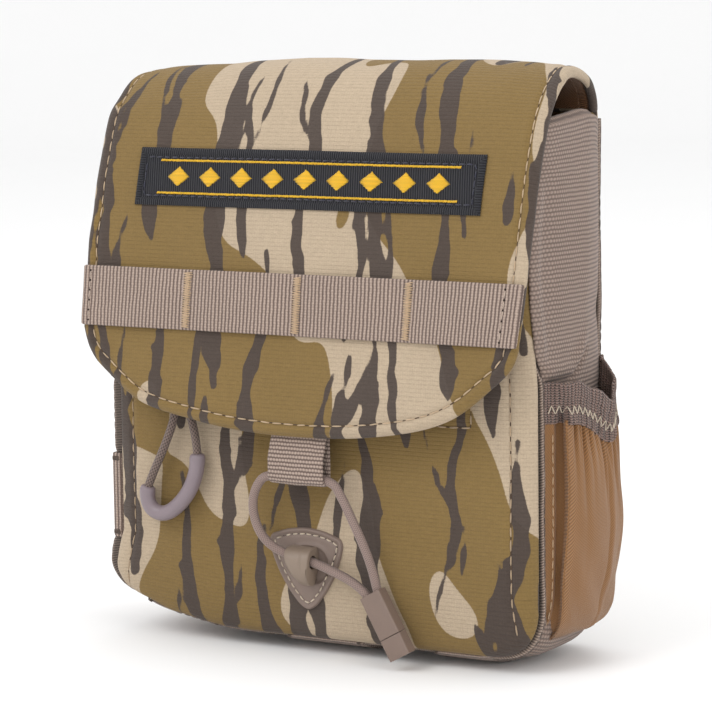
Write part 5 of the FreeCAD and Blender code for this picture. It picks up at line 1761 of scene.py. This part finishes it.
Vs, Ns = shield_point(SX.ravel(), SZ.ravel())
Bs, _ = panel_point(SX[-1], SZ[-1], -0.6, relief=False)
m = NT_
nr = len(rr)
fc = []
for i in range(nr - 1):
    for j in range(m):
        k = (j + 1) % m
        fc.append((i * m + j, i * m + k, (i + 1) * m + k, (i + 1) * m + j))
fc.append(tuple(range(m))[::-1])
fc2 = [((nr - 1) * m + j, (nr - 1) * m + (j + 1) % m, nr * m + (j + 1) % m, nr * m + j) for j in range(m)]
fc += fc2
fc.append(tuple(nr * m + j for j in range(m)))
shield = make("hook_shield_base", np.vstack([Vs, Bs]), fc, [M_RUBBER])
fix_normals(shield)
place(shield, "pouch", "hook_rubber", ["hook_shield"])

# stitches in the shield's channel, with near-black dots at their needle holes as painted shade
sc_line = SC + (sh - SC) * 1.0
dn = np.gradient(sh, axis=0)
dn /= np.linalg.norm(dn, axis=1)[:, None]
ins = np.stack([-dn[:, 1], dn[:, 0]], 1)
if ((SC - sh) * ins).sum() < 0:
    ins = -ins
sl = even(sh + ins * 2.2, 900)
P3, N3 = shield_point(sl[:, 0], sl[:, 1], 0.02)
th = Thread()
th.run(P3, N3, pitch=2.75, size=2.0, d=0.55, lift=0.22, seed=55)
th.done("hook_shield_stitching", M_THREAD_L, "pouch")
holes = Thread(5)
L = length(sl)
qq = 0.6 - 0.35
cum = np.concatenate([[0], np.cumsum(np.linalg.norm(np.diff(sl, axis=0), axis=1))])
while qq < L:
    x, z = np.interp(qq, cum, sl[:, 0]), np.interp(qq, cum, sl[:, 1])
    x2, z2 = np.interp(min(qq + 0.5, L), cum, sl[:, 0]), np.interp(min(qq + 0.5, L), cum, sl[:, 1])
    a, n = shield_point(np.array([x, x2]), np.array([z, z2]), 0.0)
    holes.stitch(a[0], a[1], n[0], 0.62, 0.0, 0.35)
    qq += 2.75
holes.done("hook_shield_holes", M_HOLE_SHADE, "pouch")

# the nose: a tapered block standing off the shield, with a round way through it for the bungee
NOSE = [(-34.3, 39.7), (-38.2, 39.7), (-40.9, 39.1), (-42.6, 37.5), (-43.4, 35.0), (-43.0, 31.8), (-41.4, 28.9),
        (-39.4, 27.0), (-37.4, 26.1), (-34.3, 25.9)]
TUNNEL = (-38.15, 35.7)


def nose_half(z):
    return np.interp(z, [25.5, 27.5, 30.0, 34.0, 38.0, 40.0], [1.5, 2.0, 3.0, 4.2, 4.9, 5.0])


outer = even(rounded(NOSE + NOSE[:1], 1.2, 4), 61)[:-1]
no = len(outer)
ang_o = np.arctan2(outer[:, 1] - TUNNEL[1], outer[:, 0] - TUNNEL[0])
inner = np.stack([TUNNEL[0] + 2.35 * np.cos(ang_o), TUNNEL[1] + 2.35 * np.sin(ang_o)], 1)
V, sidew = [], np.linspace(-1, 1, 25)
ns = len(sidew)
for lay, poly in enumerate((outer, inner)):
    for i, (y, z) in enumerate(poly):
        w = float(nose_half(z))
        for sgn in sidew:
            x = -2.0 + 0.165 * (38.5 - z) + sgn * w
            if lay:
                V.append((x, y, z - 0.19 * (x + 2.2)))
                continue
            front = min(1.0, max(0.0, (-36.5 - y) / 4.0))
            # a low flat down the middle, a fine groove at its right, sides rounded off
            dy = 1.3 * max(0.0, abs(sgn) - 0.45) ** 1.5 + 0.45 * min(1.0, max(0.0, (sgn - 0.34) / 0.06)) * min(1.0, max(0.0, (z - 30.5) / 4.0))
            V.append((x, y + dy * front, z))
fc = []
for lay in range(2):
    o = lay * no * ns
    for i in range(no):
        i2 = (i + 1) % no
        for j in range(ns - 1):
            a, b = o + i * ns + j, o + i2 * ns + j
            fc.append((a, b, b + 1, a + 1) if lay == 0 else (a, a + 1, b + 1, b))
o = no * ns
for i in range(no):
    i2 = (i + 1) % no
    for j in (0, ns - 1):
        a, b = i * ns + j, i2 * ns + j
        fc.append((a, b, o + b, o + a))
nose = make("hook_nose", np.array(V), fc, [M_NOSE])
bm = bmesh.new()
bm.from_mesh(nose.data)
bmesh.ops.remove_doubles(bm, verts=bm.verts, dist=0.00001)
bmesh.ops.recalc_face_normals(bm, faces=bm.faces)
sharp = [e for e in bm.edges if len(e.link_faces) == 2 and e.calc_face_angle(0) > math.radians(50)]
bmesh.ops.bevel(bm, geom=sharp, offset=0.00035, segments=2, affect="EDGES", profile=0.6)
bm.to_mesh(nose.data)
bm.free()
nose.data.polygons.foreach_set("use_smooth", np.ones(len(nose.data.polygons), bool))
place(nose, "pouch", "hook_rubber")

# ------------------------------------------------------------------ side pocket
POCKET = [(85.5, -23.9), (86.3, -22.3), (88.8, -21.0), (93.0, -17.8), (96.6, -11.5), (98.4, -3.5), (98.6, 5.0),
          (97.2, 12.5), (93.6, 18.4), (89.2, 21.6), (86.2, 22.9), (85.6, 24.6)]
pk = spline(POCKET, 260)
pk_c = np.array([84.5, 0.0])
nu, nv = len(pk), 84
fu = np.linspace(0, 1, nu)
fv = np.linspace(0, 1, nv)
rngp = random.Random(77)
folds = [(0.205, 0.010, 1.5, 0.16), (0.243, 0.008, 0.8, 0.09), (0.277, 0.012, 1.9, 0.26), (0.306, 0.007, 0.8, 0.08),
         (0.334, 0.010, 1.5, 0.15), (0.392, 0.012, 0.9, 0.11), (0.457, 0.012, 1.8, 0.22), (0.520, 0.010, 1.0, 0.12),
         (0.584, 0.013, 1.7, 0.20), (0.640, 0.011, 1.1, 0.14), (0.700, 0.013, 1.6, 0.22), (0.755, 0.010, 1.0, 0.12),
         (0.810, 0.012, 1.4, 0.20), (0.870, 0.011, 1.0, 0.14)]
FU, FV = np.meshgrid(fu, fv, indexing="ij")


def gather(u, v):
    """Depth of the gathers: deep under the elastic, dying away below it."""
    d = np.zeros_like(u)
    for c, w, a, reach in folds:
        cc = c + 0.10 * (1 - v) * (c - 0.36) + 0.012 * np.sin(v * 9 + c * 40) * (1 - v)
        d = d + a * np.exp(-((u - cc) / (w * (1 + 1.5 * (1 - v)))) ** 2) * np.exp(-((1 - v) / reach) ** 1.3)
    return d


wave_p, wave_q = waves(91, 7, 22, 60), waves(92, 6, 10, 26)


def pocket_top(u):
    """Seam between pocket and elastic, drooping at the mouth's outer side."""
    return 88.0 - 9.0 * np.exp(-((u - 0.55) / 0.20) ** 2) + 3.0 * np.clip((u - 0.8) / 0.2, 0, 1)


def pocket_xy(u):
    x = np.interp(u, fu, pk[:, 0])
    y = np.interp(u, fu, pk[:, 1])
    return x, y


def ease(a, b, t):
    t = np.clip((t - a) / (b - a), 0, 1)
    return t * t * (3 - 2 * t)


def pocket_depth(u, v, z):
    """How far the cloth stands out from its plan line, and how far it laps back towards the
    front."""
    mid = np.sin(np.pi * np.clip((u - 0.06) / 0.88, 0, 1)) ** 0.7
    belly = 1.5 * np.exp(-((v - 0.42) / 0.30) ** 2) - 1.7 * np.clip((v - 0.72) / 0.28, 0, 1) ** 1.5
    # the seam strip lies flat by the front binding, then the cloth turns in a deep valley and
    # folds sharply out of it
    wander = 0.006 * np.sin(v * 7.0) + 0.010 * (1 - v)
    valley = -3.3 * ease(0.064, 0.078, u) * (1 - ease(0.146, 0.158, u + wander)) * (0.45 + 0.55 * ease(0.0, 0.3, v))
    ridge = 1.0 * ease(0.146, 0.160, u + wander) * np.exp(-np.maximum(u + wander - 0.160, 0) / 0.035) * (0.4 + 0.6 * v)
    # one long crease, and a soft fold towards the back
    uc = 0.457 + 0.043 * v ** 0.8
    crease = -0.9 * np.exp(-((u - uc) / 0.012) ** 2) * (0.35 + 0.65 * v) + 0.5 * np.exp(-((u - uc - 0.035) / 0.022) ** 2)
    back_fold = -1.1 * np.exp(-((u - 0.640 - 0.03 * v) / 0.020) ** 2) * (0.3 + 0.7 * v)
    drag = 0.55 * np.sin((u * 60 * 0.55 + z * 0.42) * 0.62 + 1.2 * np.sin(z / 17.0)) * np.exp(-((v - 0.22) / 0.22) ** 2) * mid * ease(0.16, 0.26, u)
    lap = 2.3 * np.exp(-((u + wander - 0.166) / 0.013) ** 2) * (0.45 + 0.55 * ease(0.05, 0.35, v))
    d = mid * belly + valley + ridge + 0.5 * lap + crease + back_fold + drag - 1.35 * gather(u, v) * ease(0.16, 0.19, u)
    d = d + 0.50 * wave_p(u * 90, z) * mid + 0.16 * wave_q(u * 90, z) * mid
    return d, lap


def pocket_surface(u, v, off=0.0):
    """u from the front seam round to the back one, v from the foot to the elastic."""
    x, y = pocket_xy(u)
    top = pocket_top(u)
    z0 = 10.6 + 1.6 * np.sin(np.pi * np.clip(u, 0, 1)) ** 2
    z = z0 + (top - z0) * v
    # outward direction in plan
    h = 0.004
    x1, y1 = pocket_xy(np.clip(u + h, 0, 1))
    x0, y0 = pocket_xy(np.clip(u - h, 0, 1))
    tx, ty = x1 - x0, y1 - y0
    l = np.hypot(tx, ty)
    nx, ny = ty / l, -tx / l
    # narrows at the foot, fullest two thirds of the way up, drawn in at the elastic
    foot = 0.42 * np.clip(1 - v / 0.62, 0, 1) ** 1.5 + 0.22 * np.clip(1 - v / 0.12, 0, 1) ** 1.8
    xx = 85.4 + (x - 85.4) * (1 - foot)
    yy = y * (1 - 0.16 * np.clip(1 - v / 0.16, 0, 1) ** 2)
    d, lap = pocket_depth(u, v, z)
    d = d + off
    # the corner of the body runs under it at the bottom
    t = np.clip((BASE_Z + CORNER - z) / CORNER, 0, 1)
    inset = CORNER - np.sqrt(np.maximum(CORNER ** 2 - (CORNER * t) ** 2, 0))
    near = np.clip(1 - (xx - 85.4) / 6.0, 0, 1)
    xx = xx - inset * near * 0.92
    # drawn in towards the back with the body's own edge
    xx = xx - 1.0 * np.clip((yy - 8) / 13.0, 0, 1)
    return np.stack([xx + nx * d - tx / l * lap, yy + (ny * d - ty / l * lap) * 0.9, z], -1), np.stack([nx, ny, 0 * nx], -1)


Vk, Nk = pocket_surface(FU.ravel(), FV.ravel())
patk = np.stack([FU.ravel() * length(pk) * 1.25, FV.ravel() * 80.0, np.zeros(FU.size)], 1)
Fk = grid_faces(nu, nv)
if (normals_of(Vk, Fk) * Nk).sum() < 0:
    Fk = [f[::-1] for f in Fk]
pocket = thick("side_pocket_cloth", Vk, Fk, 0.7, patk, [M_POCKET], bulge=0.5, rings=1)
place(pocket, "pouch", "pocket_fabric", ["side_pocket"])
# foot of the pocket: a gusset piece closing it below
nb2 = 14
FB = np.linspace(0, 1, nb2)
rim = pocket_surface(fu, np.zeros(nu))[0]
Vb2 = []
for i in range(nu):
    for f in FB:
        x, y, z = rim[i]
        wx_ = 85.4 - (CORNER - math.sqrt(max(CORNER ** 2 - (BASE_Z + CORNER - z) ** 2, 0))) if z < BASE_Z + CORNER else 85.4
        xt = wx_ - 1.5
        Vb2.append((x + (xt - x) * f, y * (1 - 0.05 * f), z - 0.9 * math.sin(math.pi * f) - 0.4 * f))
Vb2 = np.array(Vb2)
Fb2 = grid_faces(nu, nb2)
Nb2 = normals_of(Vb2, Fb2)
if Nb2[:, 2].sum() > 0:
    Fb2 = [f[::-1] for f in Fb2]
foot = thick("side_pocket_foot", Vb2, Fb2, 0.7, np.stack([Vb2[:, 0], Vb2[:, 1], 0 * Vb2[:, 0]], 1), [M_POCKET], bulge=0.4, rings=1)
place(foot, "pouch", "pocket_fabric")
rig.sheet(pocket, flat=(0.082, 0.080), held="gathered", rests_on=["side_gusset"], with_pieces=[foot])

# elastic hem: a doubled knit band, drawn in and drooping at the outer side
ne, nw_ = 190, 26
EU, EV = np.meshgrid(np.linspace(0.0, 1.0, ne), np.linspace(0, 1, nw_), indexing="ij")
wave_r = waves(95, 6, 14, 34)
# the hem's lower edge runs over the tops of the gathers
top_u = np.linspace(0, 1, 601)
top_d = pocket_depth(top_u, np.ones(601), pocket_top(top_u))[0]
top_d = np.array([top_d[max(0, k - 9):k + 10].max() for k in range(601)])
top_d = np.convolve(np.pad(top_d, 7, "edge"), np.ones(15) / 15, "valid") + 0.55


def hem_surface(u, v, off=0.0):
    x, y = pocket_xy(u)
    base = pocket_top(u) - 0.8
    h = 0.004
    x1, y1 = pocket_xy(np.clip(u + h, 0, 1))
    x0, y0 = pocket_xy(np.clip(u - h, 0, 1))
    tx, ty = x1 - x0, y1 - y0
    l = np.hypot(tx, ty)
    nx, ny = ty / l, -tx / l
    mid = np.sin(np.pi * np.clip((u - 0.02) / 0.96, 0, 1)) ** 0.8
    height = 13.0 + 0.8 * np.exp(-((u - 0.50) / 0.2) ** 2) + 3.0 * np.clip((u - 0.78) / 0.22, 0, 1) + 0.5 * np.sin(u * 34) * (u > 0.1)
    z = base + height * v
    # leans out a little at the mouth, in soft waves
    d = off + 0.5 + mid * (-2.3 + 1.3 * v) + 0.50 * wave_r(u * 95, v * 10) * mid - 0.22 * np.sin(np.pi * v * 2)
    d = d + 1.5 * np.sin(u * 2 * np.pi * 2.3 + 0.6) * mid * (0.30 + 0.6 * v)
    d = d - 1.0 * np.exp(-((u - 0.118) / 0.03) ** 2) * (1 - v) + 0.25 * np.sin(u * 46 + 2 * v) * mid
    d = d - 0.35 * np.clip(1 - np.abs(v - 0.62) / 0.08, 0, 1) * mid
    s = ease(0.05, 0.55, v)
    d = d * s + (off + np.interp(u, top_u, top_d) + 0.05 * np.sin(u * 150)) * (1 - s)
    x = x - 1.1 * np.clip((y - 8) / 13.0, 0, 1)
    z = z - 2.2 * np.clip((u - 0.62) / 0.2, 0, 1) * v
    d = d + 0.22 * np.sin(u * 150 + 1.5 * np.sin(u * 31)) * (1 - 0.5 * v) * mid
    return np.stack([x + nx * d, y + ny * d, z], -1), np.stack([nx, ny, 0 * nx], -1)


Ve, Ne = hem_surface(EU.ravel(), EV.ravel())
pate = np.stack([EU.ravel() * length(pk), EV.ravel() * 14.0, np.zeros(EU.size)], 1)
Fe = grid_faces(ne, nw_)
if (normals_of(Ve, Fe) * Ne).sum() < 0:
    Fe = [f[::-1] for f in Fe]
hem = thick("side_pocket_hem", Ve, Fe, 1.4, pate, [M_ELASTIC], bulge=0.5, rings=3)
place(hem, "pouch", "elastic", ["side_pocket_elastic"])

# zigzag stitch along the lower half of the hem
th = Thread(5)
u = 0.03
L = length(pk)
k = 0
while u < 0.97:
    du = 1.35 / L
    v0, v1 = (0.22, 0.44) if k % 2 == 0 else (0.44, 0.22)
    a, n = hem_surface(np.array([u, u + du]), np.array([v0, v1]), 0.12)
    th.stitch(a[0], a[1], n[0], 0.42, 0.12)
    u += du
    k += 1
th.done("side_pocket_zigzag", M_THREAD_L, "pouch")
# seam stitching of the pocket's front strip
th = Thread(5)
vv = np.linspace(0.03, 0.97, 300)
P3, N3 = pocket_surface(np.full(300, 0.060), vv, 0.12)
th.run(P3, N3, pitch=3.6, size=2.8, d=0.42, lift=0.12, seed=66)
P3, N3 = pocket_surface(np.full(300, 0.945), vv, 0.12)
th.run(P3, N3, pitch=3.6, size=2.8, d=0.42, lift=0.12, seed=67)
th.done("side_pocket_seam_stitch", M_TACK, "pouch")

# ----------------------------------------------------------------- belt straps
th = Thread()
tk = Thread(5)
for side, sgn in (("left", -1), ("right", 1)):
    cx = sgn * 45.0
    pts = [(31.9, 40.2), (31.9, 56.4), (34.4, 66.6), (34.4, 139.4), (29.9, 147.6), (29.9, 149.7)]
    pts = rounded(pts, 5.0, 8)
    ob = strip("belt_strap_%s_webbing" % side, pts, cx - 12.5, cx + 12.5, "x", 1.3, M_WEB, nw=20, step=1.4, bow=0.15, seed=100 + sgn)
    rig.blend(ob, "pouch", "strap_" + side, tuple(to_row((cx, 29.9, 149.4))), tuple(to_row((cx, 29.9, 143.6))))
    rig.replaces(ob, "belt_strap_" + side)
    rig.slot(ob, "webbing")
    # folded and stitched end above the snap, with a row of stitches at each side of it
    for z in (41.8, 57.5):
        xx = np.linspace(cx - 11.0, cx + 11.0, 60)
        yb = np.full(60, 32.0 if z < 50 else 32.2)
        P3 = np.stack([xx, yb, np.full(60, z)], 1)
        t2 = Thread()
        t2.run(P3, np.tile([0, 1.0, 0], (60, 1)), pitch=3.4, size=2.6, d=0.5, lift=0.15, seed=5)
        t2.done("belt_strap_%s_stitch_%d" % (side, int(z)), M_THREAD, "strap_" + side)
    # anchor: box and cross stitching
    a = [(cx - 10.8, 152.0), (cx + 10.8, 152.0), (cx + 10.8, 164.4), (cx - 10.8, 164.4), (cx - 10.8, 152.0)]
    for q in (a, [(cx - 10.8, 152.0), (cx + 10.8, 164.4)], [(cx + 10.8, 152.0), (cx - 10.8, 164.4)]):
        q = even(q, 200)
        P3 = np.stack([q[:, 0], np.full(len(q), 29.75), q[:, 1]], 1)
        th.run(P3, np.tile([0, 1.0, 0], (len(P3), 1)), pitch=3.0, size=2.3, d=0.45, lift=0.12, seed=9)
    ob = strip("strap_anchor_%s_webbing" % side, [(29.65, 150.2), (29.65, 166.2)], cx - 12.5, cx + 12.5, "x", 1.25, M_WEB, nw=16, step=1.2, seed=120 + sgn)
    place(ob, "pouch", "webbing", ["strap_anchor_" + side])
th.done("strap_anchor_stitching", M_THREAD, "pouch")

# ---------------------------------------------------------- pull cord and sleeve
# the rubber sleeve covers the bottom of the loop
line_p = nurbs_line(PULL_ROUTE)
line_p = even(line_p, max(40, int(length(line_p) / 0.9)))
half_i = int(np.argmin(line_p[:, 2]))
start_i = int(np.argmin(np.abs(line_p[:half_i, 2] - 57.0)))
end_i = half_i + int(np.argmin(np.abs(line_p[half_i:, 2] - 69.5)))
sl_line = even(line_p[start_i:end_i + 1], 90)
ls = np.linspace(0, length(sl_line), 90)
tot = ls[-1]
endd = np.minimum(ls, tot - ls)
sc = 1 - 0.22 * np.clip(1 - endd / 0.9, 0, 1) ** 2
sc = sc * (1 + 0.05 * np.exp(-((endd - 2.0) / 1.2) ** 2)) + 0.03 * np.sin(ls / tot * math.pi)
sleeve = sweep("zip_pull_sleeve_rubber", sl_line, ring_section(2.7, 22), [M_SLEEVE], scale=sc)
place(sleeve, "zip_pull", "sleeve_rubber", ["zip_pull_sleeve"])
pull, line_p = cord_piece("zip_pull_loop", PULL_ROUTE, 3.0, M_PULLCORD, (-51.6, -37.3, 96.0), "object", "zip_pull",
                          [N["zip_pull_knot"], sleeve], ["zip_pull_cord"], lay="hanging")
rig.slot(pull, "pull_cord")

# ------------------------------------------------- pieces whose CAD shape shows
def dress(node, mat, slot, smooth=None):
    o = N[node]
    o.data.materials.clear()
    o.data.materials.append(mat)
    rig.slot(o, slot)


# the lining bag and the zip pocket's inner wall keep inside the settled walls
for node, name, up in (("main_lining", "main_lining_bag", 1.0), ("zip_pocket_wall", "zip_pocket_inner_wall", 2.6)):
    lm = N[node].data.copy()
    lm.materials.clear()
    lm.materials.append(M_LINING)
    q = np.zeros(len(lm.vertices) * 3, np.float32)
    lm.vertices.foreach_get("co", q)
    M4 = np.array(N[node].matrix_world)
    q = (q.reshape(-1, 3).astype(float) @ M4[:3, :3].T + M4[:3, 3]) * 1000 - np.array([OX, OY, 0])
    q = settle(q)
    q[:, 0] = q[:, 0] * (1 - 0.013 * np.clip((190 - q[:, 2]) / 20.0, 0, 1))
    q[:, 2] += up * np.clip((46 - q[:, 2]) / 40.0, 0, 1)
    lm.vertices.foreach_set("co", to_row(q).astype(np.float32).ravel())
    lm.update()
    inner_cloth = bpy.data.objects.new(name, lm)
    scene.collection.objects.link(inner_cloth)
    place(inner_cloth, "pouch", "lining_fabric", [node])
dress("zip_tape", M_ZIPTAPE, "zip_tape")
dress("zip_teeth", M_TEETH, "zip_teeth")
dress("zip_end_stops", M_TEETH, "zip_teeth")
dress("zip_slider", M_SLIDER, "slider_metal")
dress("zip_pull_knot", moulded("knot_cord", srgb("#6B5B53"), rough=0.8, scale=2.5, bump=0.0003), "pull_cord")
dress("cord_end_body", M_PLASTIC, "cord_end_plastic")
dress("cord_end_cap", M_PLASTIC, "cord_end_plastic")
dress("snap_cap_left", M_BRASS, "snap_metal")
dress("snap_cap_right", M_BRASS, "snap_metal")
dress("snap_studs", M_BRASS, "snap_metal")

# ------------------------------------------------------------- stage and lights
def stage_mat():
    m = Mat("studio_white", rough=0.9, spec=0.1)
    P = m.obj_mm()
    g = m.noise(m.vmul(P, (0.01, 0.01, 0.01)), 1, 2.0)
    return m.finish(m.shade((0.93, 0.93, 0.93), m.add(0.995, m.mul(g, 0.01))))


W, D, Hh, R = 30.0, 4.0, 4.0, 1.2
prof_b = [(-30.0, 0.0)] + [(D - R + R * math.sin(g), R - R * math.cos(g)) for g in np.linspace(0, math.pi / 2, 24)] + [(D, Hh)]
vs, fs = [], []
for i, (y, z) in enumerate(prof_b):
    vs += [(-W, y, z), (W, y, z)]
    if i:
        fs.append((2 * i - 2, 2 * i - 1, 2 * i + 1, 2 * i))
me = bpy.data.meshes.new("studio_floor")
me.from_pydata(vs, [], fs)
me.polygons.foreach_set("use_smooth", np.ones(len(fs), bool))
me.materials.append(stage_mat())
floor = bpy.data.objects.new("studio_floor", me)
scene.collection.objects.link(floor)
floor.rotation_euler = (0, 0, math.radians(30))
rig.stage(floor)

world = bpy.data.worlds.new("world")
scene.world = world
world.use_nodes = True
world.node_tree.nodes["Background"].inputs[0].default_value = (1.0, 1.0, 1.0, 1)
world.node_tree.nodes["Background"].inputs[1].default_value = 1.01


def area(name, at, look, size, power, color=(1, 1, 1)):
    l = bpy.data.lights.new(name, "AREA")
    l.shape = "RECTANGLE"
    l.size, l.size_y = size
    l.energy = power
    l.color = color
    o = bpy.data.objects.new(name, l)
    scene.collection.objects.link(o)
    o.location = at
    o.rotation_mode = "QUATERNION"
    o.rotation_quaternion = (Vector(look) - Vector(at)).to_track_quat("-Z", "Y")
    return o


area("key", (-0.55, -1.25, 1.35), (0, 0, 0.10), (1.0, 0.8), 9.5)
area("fill", (1.35, -0.55, 0.75), (0, 0, 0.10), (0.9, 0.9), 3.5)
area("top", (0.1, 0.25, 1.5), (0, 0, 0.1), (1.0, 1.0), 4.0)
scene.view_settings.view_transform = "Standard"
scene.view_settings.look = "None"

VIS_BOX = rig.bounds()
with open("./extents.json", "w") as f:
    json.dump({"cad": [list(CAD_BOX[0]), list(CAD_BOX[1])], "visual": [list(VIS_BOX[0]), list(VIS_BOX[1])]}, f)
